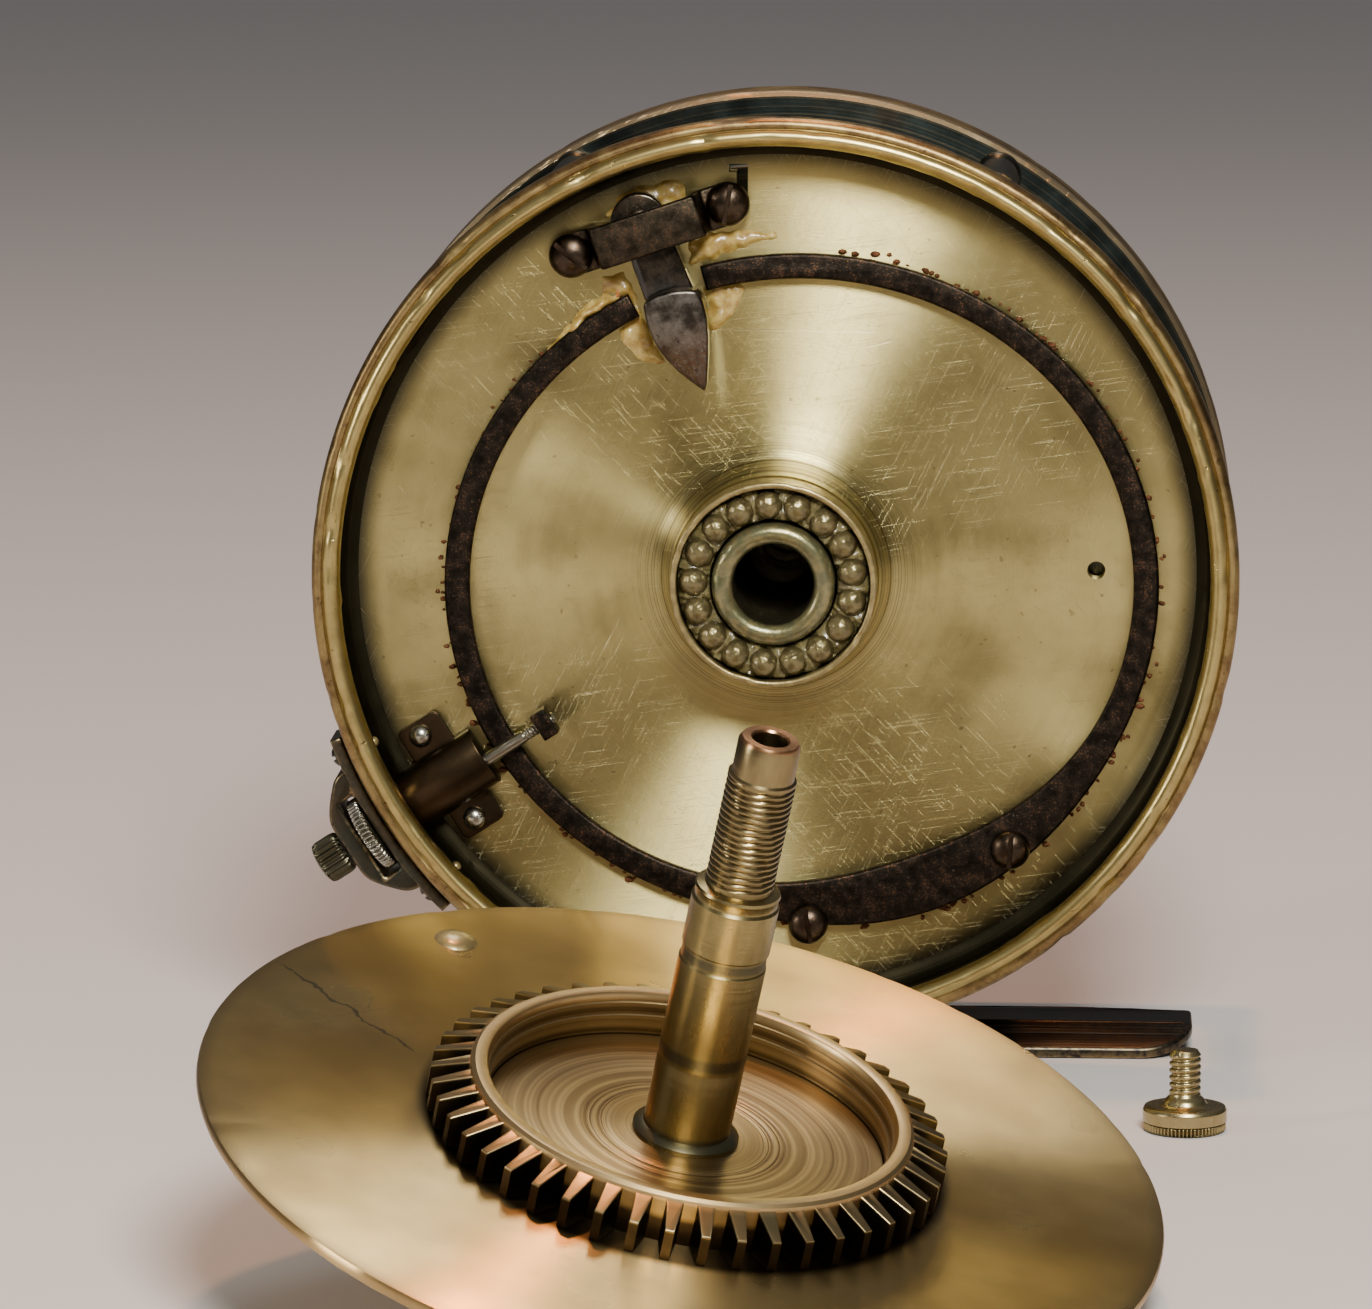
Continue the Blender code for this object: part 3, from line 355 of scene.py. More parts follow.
class Finish:
    """A Principled material built up from procedural layers. Its coordinates are millimetres."""

    def __init__(self, name, metallic=1.0):
        self.material = bpy.data.materials.new(name)
        self.material.use_nodes = True
        self.tree = self.material.node_tree
        self.shader = self.tree.nodes["Principled BSDF"]
        self.set("Metallic", metallic)
        local = self.node("TexCoord").outputs["Object"]
        self.mm = self.node("VectorMath", {0: local, "Scale": 1.0 / MM}, operation="SCALE").outputs[0]
        self.x, self.y, self.z = self.node("SeparateXYZ", {0: self.mm}).outputs
        squares = self.plus(self.times(self.x, self.x), self.times(self.y, self.y))
        self.radius = self.math("SQRT", squares)
        self.colour = None
        self.height = None

    def feed(self, socket, value):
        """Give an input a value, a colour or another node's output."""
        if isinstance(value, bpy.types.NodeSocket):
            self.tree.links.new(value, socket)
        elif socket.type == "RGBA":
            socket.default_value = (*value, 1.0)
        else:
            socket.default_value = value

    def node(self, kind, inputs=None, **settings):
        """A new node with its settings made and its inputs fed."""
        node = self.tree.nodes.new(f"ShaderNode{kind}")
        for name, value in settings.items():
            setattr(node, name, value)
        for name, value in (inputs or {}).items():
            self.feed(node.inputs[name], value)
        return node

    def set(self, name, value):
        """Set one of the shader's inputs."""
        self.feed(self.shader.inputs[name], value)

    def math(self, operation, a, b=0.0):
        """One Math node."""
        return self.node("Math", {0: a, 1: b}, operation=operation).outputs[0]

    def times(self, a, b):
        """The product of two values."""
        return self.math("MULTIPLY", a, b)

    def plus(self, a, b):
        """The sum of two values."""
        return self.math("ADD", a, b)

    def minus(self, a, b):
        """The difference of two values."""
        return self.math("SUBTRACT", a, b)

    def most(self, a, b):
        """The larger of two values."""
        return self.math("MAXIMUM", a, b)

    def off(self, a, b):
        """How far apart two values are."""
        return self.math("ABSOLUTE", self.minus(a, b))

    def stretched(self, turn, scale):
        """Coordinates turned about Z and scaled unevenly, for marks that run one way."""
        inputs = {"Vector": self.mm, "Rotation": (0.0, 0.0, math.radians(turn)), "Scale": scale}
        return self.node("Mapping", inputs, vector_type="TEXTURE").outputs[0]

    def noise(self, size, detail=3.0, rough=0.55, vector=None):
        """Noise with lumps of the given size in millimetres."""
        inputs = {"Vector": self.mm if vector is None else vector,
                  "Scale": 1.0 / size, "Detail": detail, "Roughness": rough}
        return self.node("TexNoise", inputs).outputs["Fac"]

    def lines(self, along, size, detail):
        """Noise that changes along one measure only, such as the radius."""
        inputs = {"W": along, "Scale": 1.0 / size, "Detail": detail}
        return self.node("TexNoise", inputs, noise_dimensions="1D").outputs["Fac"]

    def step(self, value, low, high):
        """0 below low, 1 above high and smooth between. low may be above high."""
        rising = low < high
        inputs = {"Value": value, "From Min": min(low, high), "From Max": max(low, high),
                  "To Min": 0.0 if rising else 1.0, "To Max": 1.0 if rising else 0.0}
        return self.node("MapRange", inputs, interpolation_type="SMOOTHSTEP").outputs[0]

    def mix(self, factor, a, b):
        """A colour between two colours."""
        return self.node("Mix", {"Factor": factor, "A": a, "B": b}, data_type="RGBA").outputs["Result"]

    def lay(self, colour, mask, share=1.0):
        """Lay a colour over what is there, where a mask shows it."""
        self.colour = self.mix(self.times(mask, share), self.colour, colour)

    def scale_by(self, value, low, high):
        """A 0 to 1 value mapped onto a range."""
        return self.plus(self.times(value, high - low), low)

    def scratches(self, turn, width, length, share):
        """Fine straight marks that run one way, 1 on a mark."""
        streak = self.noise(1.0, 0.0, 0.0, self.stretched(turn, (length, width, length)))
        return self.step(streak, share, share + 0.05)

    def stroke(self, ax, ay, bx, by, width):
        """One scratch between two points of the face, 1 along it."""
        length = math.hypot(bx - ax, by - ay)
        ux, uy = (bx - ax) / length, (by - ay) / length
        x = self.minus(self.x, ax)
        y = self.minus(self.y, ay)
        along = self.plus(self.times(x, ux), self.times(y, uy))
        across = self.minus(self.times(y, ux), self.times(x, uy))
        within = self.step(self.off(along, length / 2), length / 2, length / 2 - 1.0)
        return self.times(within, self.step(self.off(across, 0.0), width, width * 0.3))

    def crevice(self, distance, low=0.25, high=0.8):
        """1 in corners and narrow spaces, as ambient occlusion finds them, and 0 in the open. Colour
        laid by it is painted shade.
        """
        occlusion = self.node("AmbientOcclusion", {"Distance": distance * MM}, samples=6)
        return self.step(occlusion.outputs["AO"], high, low)

    def edges(self, low, high):
        """1 on worn edges."""
        return self.step(self.node("NewGeometry").outputs["Pointiness"], low, high)

    def relief(self, height, depth):
        """Add to the surface's height, in millimetres."""
        part = self.times(height, depth)
        self.height = part if self.height is None else self.plus(self.height, part)

    def turned_on_lathe(self, strength):
        """Stretch highlights across turned grooves round local Z."""
        self.set("Anisotropic", strength)
        self.set("Anisotropic Rotation", 0.25)
        self.set("Tangent", self.node("Tangent", direction_type="RADIAL", axis="Z").outputs[0])

    def coat(self, weight, roughness):
        """A clear wet or waxed layer on top."""
        self.set("Coat Weight", weight)
        self.set("Coat Roughness", roughness)

    def done(self, roughness):
        """Connect the colour, roughness and relief, and return the material."""
        self.set("Base Color", self.colour)
        self.set("Roughness", roughness)
        if self.height is not None:
            bump = self.node("Bump", {"Height": self.height, "Distance": MM})
            self.set("Normal", bump.outputs[0])
        return self.material


def turned_brass():
    """The check plate: olive-gold brass, turned, scratched and lightly tarnished."""
    f = Finish("check_plate_brass")
    rings = f.lines(f.radius, 0.11, 3.0)
    broad = f.lines(f.radius, 1.3, 1.0)
    blotch = f.noise(16.0, 5.0, 0.6)
    fine = f.noise(0.5, 3.0, 0.6)
    f.colour = f.mix(f.step(blotch, 0.35, 0.7), (0.55, 0.47, 0.19), (0.44, 0.37, 0.14))
    f.lay((0.72, 0.63, 0.32), rings, 0.35)
    tarnish = f.step(f.plus(f.noise(9.0, 3.0, 0.5), f.times(broad, 0.12)), 0.52, 0.80)
    f.lay((0.30, 0.24, 0.10), tarnish, 0.35)
    near_hub = f.times(f.step(f.radius, 17.0, 12.5), f.step(f.lines(f.radius, 0.22, 1.0), 0.45, 0.62))
    f.lay((0.16, 0.13, 0.07), near_hub, 0.7)
    # Painted shade: the plate goes nearly black towards the corner at the foot of the wall.
    shade_near_wall = f.step(f.radius, 43.5, 46.5)
    f.lay((0.07, 0.065, 0.04), shade_near_wall)
    marks = f.most(f.scratches(8.0, 0.05, 9.0, 0.755), f.scratches(64.0, 0.04, 5.0, 0.765))
    marks = f.most(marks, f.scratches(133.0, 0.05, 3.0, 0.765))
    for ends in ((-7.5, 26.9, 11.3, 26.7), (9.3, 24.9, 12.9, 25.8), (4, 23.1, 2.6, 20.6)):
        marks = f.most(marks, f.stroke(*ends, 0.10))
    f.lay((0.80, 0.73, 0.46), marks, 0.32)
    pits = f.step(f.noise(1.1, 2.0, 0.5), 0.70, 0.76)
    f.lay((0.20, 0.14, 0.06), pits, 0.55)
    f.relief(rings, 0.010)
    f.relief(fine, 0.004)
    f.relief(marks, -0.004)
    f.turned_on_lathe(1.0)
    rough = f.scale_by(f.step(blotch, 0.3, 0.75), 0.34, 0.40)
    return f.done(f.plus(rough, f.times(tarnish, 0.06)))


def wall_metal():
    """The dark fillet and wall of the check chamber."""
    f = Finish("chamber_wall")
    rings = f.lines(f.plus(f.radius, f.z), 0.35, 2.0)
    cloud = f.noise(5.0, 5.0, 0.6)
    f.colour = f.mix(cloud, (0.009, 0.008, 0.005), (0.030, 0.026, 0.014))
    gleam = f.times(f.step(rings, 0.60, 0.74), 0.35)
    f.lay((0.16, 0.13, 0.06), gleam)
    edge = f.times(f.step(f.z, -4.0, -3.6), f.step(f.z, -2.9, -3.3))
    f.lay((0.36, 0.17, 0.06), f.times(edge, f.step(cloud, 0.38, 0.55)))
    f.relief(rings, 0.012)
    return f.done(f.scale_by(cloud, 0.35, 0.55))


def rim_gold():
    """The worn bead: gold with dark nicks."""
    f = Finish("bead_brass")
    cloud = f.noise(3.5, 5.0, 0.65)
    f.colour = f.mix(f.step(cloud, 0.3, 0.75), (0.52, 0.42, 0.17), (0.36, 0.28, 0.11))
    nicks = f.step(f.noise(0.9, 3.0, 0.6, f.stretched(20.0, (2.5, 1.0, 1.0))), 0.66, 0.74)
    f.lay((0.10, 0.07, 0.035), nicks, 0.8)
    f.relief(cloud, 0.02)
    f.relief(nicks, -0.03)
    return f.done(f.scale_by(cloud, 0.20, 0.42))


def rim_copper():
    """The outside of both rims: red-brown, mottled, worn to brass in places."""
    f = Finish("rim_bronze")
    cloud = f.noise(4.5, 6.0, 0.7)
    small = f.noise(0.8, 4.0, 0.6)
    f.colour = f.mix(f.step(cloud, 0.35, 0.65), (0.15, 0.095, 0.042), (0.28, 0.19, 0.082))
    f.lay((0.10, 0.062, 0.030), f.step(small, 0.55, 0.72))
    worn = f.times(f.step(f.noise(6.0, 6.0, 0.7), 0.42, 0.62), 0.6)
    f.lay((0.42, 0.32, 0.13), worn)
    f.relief(small, 0.015)
    return f.done(f.scale_by(cloud, 0.28, 0.50))


def dark_bronze(name, tint, worn=(0.42, 0.31, 0.16), rub=0.0, turned=False):
    """Bronzed brass: near-black patina, lighter where it has been handled."""
    f = Finish(name)
    cloud = f.noise(4.0, 5.0, 0.6)
    small = f.noise(0.6, 4.0, 0.6)
    f.colour = f.mix(cloud, tint, tuple(2.4 * c for c in tint))
    brown = f.step(f.noise(9.0, 3.0, 0.5), 0.48, 0.75)
    f.lay((0.10, 0.062, 0.034), brown, 0.4)
    if turned:
        rings = f.lines(f.radius, 0.3, 2.0)
        f.lay(worn, f.step(rings, 0.58, 0.78), 0.22)
        f.relief(rings, 0.010)
        f.turned_on_lathe(0.5)
    if rub:
        worn_edge = f.times(f.edges(0.515, 0.57), f.step(small, 0.35, 0.6))
        f.lay(worn, worn_edge, rub)
    flecks = f.step(f.noise(0.5, 2.0, 0.5), 0.76, 0.82)
    f.lay((0.40, 0.34, 0.22), flecks, 0.5)
    f.relief(small, 0.008)
    return f.done(f.scale_by(cloud, 0.26, 0.42))


def rusty_steel(name, shine, base=(0.020, 0.016, 0.011), rust=0.5, wet=0.0):
    """Old steel: brown-black with rust freckles and a greasy sheen."""
    f = Finish(name)
    cloud = f.noise(1.6, 6.0, 0.65)
    grain = f.noise(0.22, 4.0, 0.6)
    f.colour = f.mix(f.step(cloud, 0.3, 0.7), base, tuple(3.0 * c for c in base))
    freckles = f.step(f.plus(f.times(cloud, 0.4), f.times(grain, 0.6)), 0.54, 0.62)
    f.lay((0.15, 0.070, 0.035), freckles, rust)
    bright = f.step(f.noise(0.5, 3.0, 0.6), 0.66, 0.76)
    f.lay((0.22, 0.18, 0.14), bright, 0.35)
    f.coat(wet, 0.06)
    f.relief(grain, 0.03)
    f.relief(cloud, 0.05)
    return f.done(f.scale_by(cloud, shine - 0.12, shine + 0.15))


def pawl_steel():
    """The pawl: dark worn steel, brighter where it rubs, going to rusty brown at its tip."""
    f = Finish("pawl_steel")
    cloud = f.noise(2.6, 5.0, 0.6)
    grain = f.noise(0.25, 4.0, 0.6)
    f.colour = f.mix(f.step(cloud, 0.35, 0.65), (0.035, 0.030, 0.024), (0.17, 0.155, 0.135))
    toward_tip = f.step(f.x, 11.5, 16.0)
    rusty = f.times(toward_tip, f.step(grain, 0.38, 0.55))
    f.lay((0.11, 0.064, 0.038), rusty, 0.85)
    spots = f.step(f.noise(0.7, 3.0, 0.6), 0.60, 0.68)
    f.lay((0.035, 0.025, 0.03), spots, 0.7)
    f.relief(grain, 0.012)
    return f.done(f.scale_by(cloud, 0.30, 0.42))


def screw_steel():
    """Domed screw heads: brown-black with a soft highlight."""
    f = Finish("screw_steel")
    cloud = f.noise(1.0, 5.0, 0.65)
    rings = f.lines(f.radius, 0.12, 1.0)
    f.colour = f.mix(cloud, (0.018, 0.013, 0.009), (0.10, 0.072, 0.050))
    freckles = f.step(f.noise(0.3, 3.0, 0.6), 0.62, 0.70)
    f.lay((0.30, 0.12, 0.05), freckles, 0.6)
    f.relief(cloud, 0.03)
    f.relief(rings, 0.006)
    return f.done(f.scale_by(cloud, 0.24, 0.40))


def grease(name, colour_thin, colour_thick, weight=1.0):
    """Old grease: honey coloured, waxy and wet on top."""
    f = Finish(name, 0.0)
    cloud = f.noise(1.3, 4.0, 0.6)
    fine = f.noise(0.35, 3.0, 0.6)
    f.colour = f.mix(f.step(cloud, 0.35, 0.68), colour_thin, colour_thick)
    f.set("Subsurface Weight", 0.25 * weight)
    f.set("Subsurface Radius", (0.6, 0.5, 0.25))
    f.set("Subsurface Scale", 0.0006)
    f.coat(0.4, 0.08)
    f.relief(cloud, 0.05)
    f.relief(fine, 0.015)
    return f.done(f.scale_by(fine, 0.18, 0.40))


def greasy_metal(name, base, film, rough):
    """Bright metal under a dull film of grease."""
    f = Finish(name, 0.75)
    cloud = f.noise(1.1, 5.0, 0.65)
    fine = f.noise(0.22, 3.0, 0.6)
    f.colour = f.mix(f.step(cloud, 0.36, 0.6), base, film)
    # Painted shade: dark colour in corners and narrow spaces found by ambient occlusion, such as round
    # the balls.
    crevice_shade = f.crevice(0.8, 0.15, 0.6)
    f.lay((0.045, 0.036, 0.024), crevice_shade, 0.8)
    f.coat(0.5, 0.12)
    f.relief(cloud, 0.055)
    f.relief(fine, 0.016)
    return f.done(f.scale_by(cloud, rough - 0.1, rough + 0.12))


def bright_metal(name, base, shade, rough=0.22, crevice_shade=0.7, gap=0.5):
    """Nickel silver or polished brass, with painted shade in its grooves."""
    f = Finish(name)
    cloud = f.noise(2.0, 5.0, 0.6)
    fine = f.noise(0.3, 3.0, 0.6)
    f.colour = f.mix(cloud, base, shade)
    # Painted shade in grooves and corners, found by ambient occlusion.
    f.lay((0.05, 0.04, 0.025), f.crevice(gap), crevice_shade)
    marks = f.scratches(35.0, 0.04, 2.0, 0.72)
    f.lay(tuple(0.45 * c for c in base), marks, 0.4)
    f.relief(fine, 0.006)
    f.relief(marks, -0.006)
    return f.done(f.scale_by(cloud, rough - 0.04, rough + 0.12))


def plate_gold():
    """The handle plate: polished warm gold with light turning marks and hairlines."""
    f = Finish("handle_plate_brass")
    rings = f.lines(f.radius, 0.25, 3.0)
    blotch = f.noise(14.0, 2.0, 0.5)
    f.colour = f.mix(f.step(blotch, 0.32, 0.68), (0.80, 0.57, 0.23), (0.60, 0.41, 0.155))
    stain = f.step(f.noise(9.0, 4.0, 0.55), 0.46, 0.74)
    f.lay((0.44, 0.30, 0.14), stain, 0.40)
    # Painted shadow of the ratchet teeth: the plate's face goes nearly black round the foot of the
    # ring.
    teeth_shadow = f.times(f.step(f.radius, 26.6, 25.0), f.step(f.z, -0.3, -0.1))
    f.lay((0.030, 0.022, 0.013), teeth_shadow, 0.93)
    rim = f.step(f.radius, 45.5, 47.2)
    f.lay((0.42, 0.29, 0.14), rim, 0.55)
    # Painted shade: the plate's rounded edge and underside are made darker.
    under = f.step(f.z, -0.3, -1.2)
    f.lay((0.45, 0.33, 0.17), under, 0.35)
    marks = f.stroke(-38.0, 8.0, -31.0, 14.0, 0.08)
    for ends in ((30, -6, 37, -2), (-22, -34, -12, -36), (12, 33, 24, 30)):
        marks = f.most(marks, f.stroke(*ends, 0.07))
    f.lay((0.42, 0.31, 0.17), marks, 0.4)
    wander = f.times(f.minus(f.noise(3.0, 3.0, 0.6), 0.5), 3.0)
    along = f.minus(f.times(f.x, 0.76), f.times(f.y, 0.65))
    across = f.plus(f.times(f.x, 0.65), f.times(f.y, 0.76))
    across = f.plus(across, wander)
    hair = f.times(f.step(f.off(across, -13.0), 0.30, 0.08),
                  f.step(f.off(along, -34.5), 10.5, 8.5))
    f.lay((0.18, 0.14, 0.10), hair, 0.75)
    f.relief(rings, 0.007)
    f.relief(marks, -0.002)
    f.turned_on_lathe(1.0)
    return f.done(f.scale_by(f.step(blotch, 0.3, 0.75), 0.27, 0.33))


def race_floor():
    """The bottom of the ratchet's recess, worn in rings by the balls."""
    f = Finish("recess_brass")
    rings = f.lines(f.radius, 1.5, 2.0)
    fine = f.lines(f.radius, 0.4, 3.0)
    worn = f.step(f.off(f.radius, 8.9), 1.6, 0.6)
    f.colour = f.mix(f.step(rings, 0.38, 0.64), (0.60, 0.44, 0.21), (0.34, 0.235, 0.11))
    f.lay((0.20, 0.13, 0.07), f.step(fine, 0.45, 0.7), 0.35)
    dark = f.times(worn, f.step(f.lines(f.radius, 0.4, 1.0), 0.45, 0.6))
    f.lay((0.20, 0.12, 0.07), dark, 0.8)
    # Painted shade in the corners of the recess, found by ambient occlusion.
    f.lay((0.14, 0.09, 0.04), f.crevice(3.0), 0.5)
    f.relief(rings, 0.03)
    f.relief(fine, 0.012)
    f.relief(dark, -0.04)
    f.turned_on_lathe(0.5)
    return f.done(0.30)


def ring_brass():
    """The ratchet ring: worn gold on top, with painted shade on the sides of its teeth, below them and
    between them.
    """
    f = Finish("ratchet_brass")
    cloud = f.noise(2.5, 5.0, 0.6)
    f.colour = f.mix(cloud, (0.58, 0.43, 0.21), (0.42, 0.30, 0.14))
    # Darker outward from the roots of the teeth.
    outward = f.minus(f.radius, TOOTH_ROOT)
    teeth = f.step(outward, 0.2, 1.2)
    f.lay((0.20, 0.165, 0.085), teeth, 0.75)
    # Painted shade: the sides of the teeth, below their sloping tops, are made nearly black.
    crest = f.plus(f.z, f.times(outward, 0.36))
    shaded_flank = f.times(f.step(crest, 4.55, 4.30), f.step(outward, 0.2, 0.5))
    f.lay((0.030, 0.023, 0.013), shaded_flank, 0.93)
    inner = f.times(f.step(f.radius, 20.2, 19.8), f.step(f.z, 4.6, 3.6))
    steps = f.step(f.lines(f.z, 0.7, 1.0), 0.36, 0.66)
    f.lay((0.17, 0.115, 0.055), f.times(inner, steps))
    # Painted shadow on the lower part of the teeth, next to the plate.
    low = f.times(f.step(f.z, 3.1, 2.2), f.step(f.radius, 20.8, 21.4))
    f.lay((0.035, 0.026, 0.018), low)
    # Painted shade between the teeth, found by ambient occlusion.
    f.lay((0.03, 0.02, 0.012), f.crevice(1.6), 0.75)
    f.relief(cloud, 0.02)
    return f.done(f.scale_by(cloud, 0.26, 0.42))


def spindle_brass():
    """The spindle: olive brass with dark wear bands and an oily sheen."""
    f = Finish("spindle_brass")
    cloud = f.noise(2.2, 5.0, 0.6, f.stretched(0.0, (1.0, 1.0, 3.0)))
    bands = f.lines(f.z, 0.5, 2.0)
    f.colour = f.mix(f.step(cloud, 0.3, 0.7), (0.38, 0.31, 0.135), (0.24, 0.195, 0.085))
    for at, half in ((20.3, 0.7), (9.9, 0.9), (1.3, 0.9)):
        near = f.step(f.off(f.z, at), half, half * 0.35)
        f.lay((0.10, 0.10, 0.07), near, 0.75)
    stained = f.times(f.step(f.z, 26.5, 29.0), 0.45)
    f.lay((0.20, 0.14, 0.08), stained)
    f.lay((0.50, 0.27, 0.13), f.step(f.z, 42.6, 43.0))
    # Painted shade in the corners of the spindle, found by ambient occlusion.
    f.lay((0.04, 0.03, 0.015), f.crevice(0.6), 0.8)
    f.relief(bands, 0.012)
    f.turned_on_lathe(0.4)
    return f.done(f.scale_by(cloud, 0.22, 0.36))


def handle_wood():
    """The handle: dark close-grained wood under wax."""
    f = Finish("blackwood", 0.0)
    grain = f.noise(0.35, 4.0, 0.6, f.stretched(0.0, (1.0, 1.0, 9.0)))
    pores = f.step(f.noise(0.12, 2.0, 0.5, f.stretched(0.0, (1.0, 1.0, 14.0))), 0.66, 0.74)
    f.colour = f.mix(grain, (0.010, 0.007, 0.005), (0.055, 0.032, 0.020))
    f.lay((0.004, 0.003, 0.002), pores, 0.6)
    f.coat(0.35, 0.18)
    f.relief(pores, -0.02)
    return f.done(f.scale_by(grain, 0.30, 0.42))


FINISHES = {
    "check_plate": turned_brass(), "wall": wall_metal(), "bead": rim_gold(), "rim": rim_copper(),
    "cup": greasy_metal("cup_brass", (0.42, 0.33, 0.14), (0.27, 0.21, 0.09), 0.34),
    "sleeve": greasy_metal("sleeve_brass", (0.26, 0.225, 0.10), (0.15, 0.15, 0.075), 0.30),
    # Painted shade: a darker copy of the sleeve's greasy brass, for the inside of the bore and the
    # drum's bush.
    "bore": greasy_metal("shaded_bore_brass", (0.10, 0.085, 0.045), (0.05, 0.042, 0.025), 0.40),
    "ball": greasy_metal("ball_steel", (0.21, 0.175, 0.075), (0.13, 0.105, 0.045), 0.34),
    "dark_grease": grease("dark_grease", (0.10, 0.085, 0.035), (0.19, 0.16, 0.065), 0.4),
    "grease": grease("old_grease", (0.34, 0.21, 0.045), (0.58, 0.43, 0.13)),
    "rust_grease": grease("rusty_grease", (0.42, 0.14, 0.04), (0.58, 0.24, 0.08)),
    "pawl": pawl_steel(),
    "wet_steel": rusty_steel("wet_steel", 0.30, (0.016, 0.013, 0.009), 0.25, 0.8),
    "steel": rusty_steel("old_steel", 0.36),
    "spring": rusty_steel("spring_steel", 0.42, (0.011, 0.009, 0.007), 0.75),
    "rust": rusty_steel("loose_rust", 0.7, (0.09, 0.040, 0.02), 0.9),
    "screw": screw_steel(),
    "silver": bright_metal("nickel_silver", (0.50, 0.49, 0.42), (0.34, 0.33, 0.27)),
    "rod": bright_metal("rod_steel", (0.36, 0.34, 0.27), (0.20, 0.18, 0.13), 0.26),
    "thumb": bright_metal("thumb_screw_silver", (0.50, 0.43, 0.23), (0.35, 0.28, 0.13), 0.24, 0.8, 0.6),
    "bevel": bright_metal("bright_bevel", (0.66, 0.55, 0.34), (0.42, 0.28, 0.14), 0.28, 0.4),
    "block": dark_bronze("block_brass", (0.026, 0.018, 0.010), (0.42, 0.30, 0.14)),
    "knob": dark_bronze("knob_bronze", (0.05, 0.047, 0.030), (0.36, 0.30, 0.16)),
    "bronze": dark_bronze("cage_bronze", (0.028, 0.030, 0.024), rub=0.6),
    "slate": dark_bronze("rear_plate_bronze", (0.022, 0.028, 0.026), turned=True),
    "drum": dark_bronze("drum_bronze", (0.030, 0.034, 0.028), turned=True),
    "foot": dark_bronze("foot_bronze", (0.020, 0.018, 0.016), (0.46, 0.36, 0.18), 0.9),
    "plate": plate_gold(), "race_floor": race_floor(), "ratchet": ring_brass(),
    "spindle": spindle_brass(), "wood": handle_wood(),
}


# ---------------------------------------------------------------- the reel body


def make_housing():
    """Front plate, wall and bead: one turned casting."""
    ridges = [(13.9 + 0.3 * i, -7.62 - 0.042 * i + 0.07 * (i % 2)) for i in range(10)]
    outline = [(7, -11), (7, -2.95), (7.15, -2.8), (11.2, -2.8), (11.45, -3.1), (11.7, -4.6),
               (12.1, -6), (12.8, -7.1), (13.6, -7.55)] + ridges
    outline += dense([(17.0, FACE), (45.5, FACE)], 3.0)
    outline += arc(45.7, FACE + 2.6, 2.6, 270.0, 360.0, 9)
    outline += rounded([(48.3, -3.7), (48.15, -3.35), (47.95, -2.9), (47.7, -2.2), (47.6, -1.2),
                        (47.85, -0.5), (48.4, -0.05), (49, -0.1), (49.4, -0.45), (49.55, -0.65),
                        (49.72, -0.45), (50.3, -0.5), (50.75, -1.1), (50.8, -1.9), (50.8, -3.1),
                        (50.65, -3.5), (50.05, -4.1)], 0.25, False, 3)
    outline += [(50, -6), (50, -8.5), (50, -10.8), (49.8, -11), (30, -11)]
    mesh = revolve(outline, 360, True, dented(0.28, 2.2, 47.0))
    small_hole = rod(35.2, 0.5, -12.0, -7.0, 1.0)
    notch_up = block((-4.5, 41.1, FACE - 4.0), (-3.2, 45.1, FACE + 1.0))
    notch_across = block((-5.3, 44.2, FACE - 4.0), (-4.5, 45.1, FACE + 1.0))
    mesh = carve(mesh, [small_hole, notch_up, notch_across])

    def paint(x, y, z):
        radius = math.hypot(x, y)
        if z < -3.0 and radius < 49.0:
            return 1 if radius > 45.8 and z > FACE + 0.03 else 0
        return 2 if radius < 49.55 and z > -3.6 else 3

    place("front_plate", mesh, "check_housing", "check_plate wall bead rim",
          paint=paint, angle=28.0)


def make_ball_race():
    """Cup, sleeve, a full ring of balls and the old grease between them."""
    cup = rounded([(7, -2.79), (7, -1.3), (10.6, -1.2), (10.6, 2), (11.3, 2), (11.3, -2.79)], 0.3)
    place("cup_ring", revolve(dense(cup, 0.5, True), 160, True, dented(0.22, 1.6, 10.5, 40.0)),
          "bearing_cup", "cup", angle=50.0)
    sleeve = [(4.4, -11.8), (6.75, -11.8), (6.75, -4)]
    sleeve += arc(5.575, 0.72, 1.175, 0.0, 180.0, 15) + [(4.4, -4)]
    mesh = revolve(sleeve, 128, True, dented(0.10, 1.4, 4.5, 70.0))

    # The inside of the bore takes the darker copy of the brass: painted shade.
    def paint(x, y, z):
        return 1 if math.hypot(x, y) < 4.75 and z < 1.3 else 0

    place("sleeve", mesh, "hub_sleeve", "sleeve bore", body="drum", paint=paint,
          angle=50.0)
    for i in range(BALL_COUNT):
        work = bmesh.new()
        bmesh.ops.create_icosphere(work, subdivisions=5, radius=BALL_RADIUS)
        for point in work.verts:
            film = max(0.0, noise.noise(point.co * 0.9 + Vector((i * 3.7, 0.0, 0.0))))
            grit = noise.noise(point.co * 2.4 + Vector((0.0, i * 2.3, 0.0)))
            point.co *= 1.0 + 0.05 * film + 0.03 * grit
        x, y = polar(BALL_PITCH_RADIUS, 9.0 + 360.0 / BALL_COUNT * i)
        matrix = moved(x, y, 0.7, 47.0 * i)
        name = f"ball_{i + 1:02d}"
        place(f"{name}_polished", solid(work), name, "ball", matrix, "ball_ring")

    def lumps(r, a, z):
        wave = np.cos(a * BALL_COUNT - math.radians(9.0 * BALL_COUNT))
        rough = np.vectorize(lambda u, t, size: noise_at(u * math.cos(t), u * math.sin(t), 0.0, size))
        return r, z - 0.35 * wave + 0.6 * rough(r, a, 1.0) + 0.3 * rough(r, a, 0.4)

    ring = arc(BALL_PITCH_RADIUS, 0.10, 1.0, 0.0, 345.0, 24)
    ring = [(BALL_PITCH_RADIUS + (x - BALL_PITCH_RADIUS) * 1.75, y * 0.8) for x, y in ring]
    place("race_grease", revolve(ring, 400, True, lumps), None, "dark_grease",
          body="ball_ring")


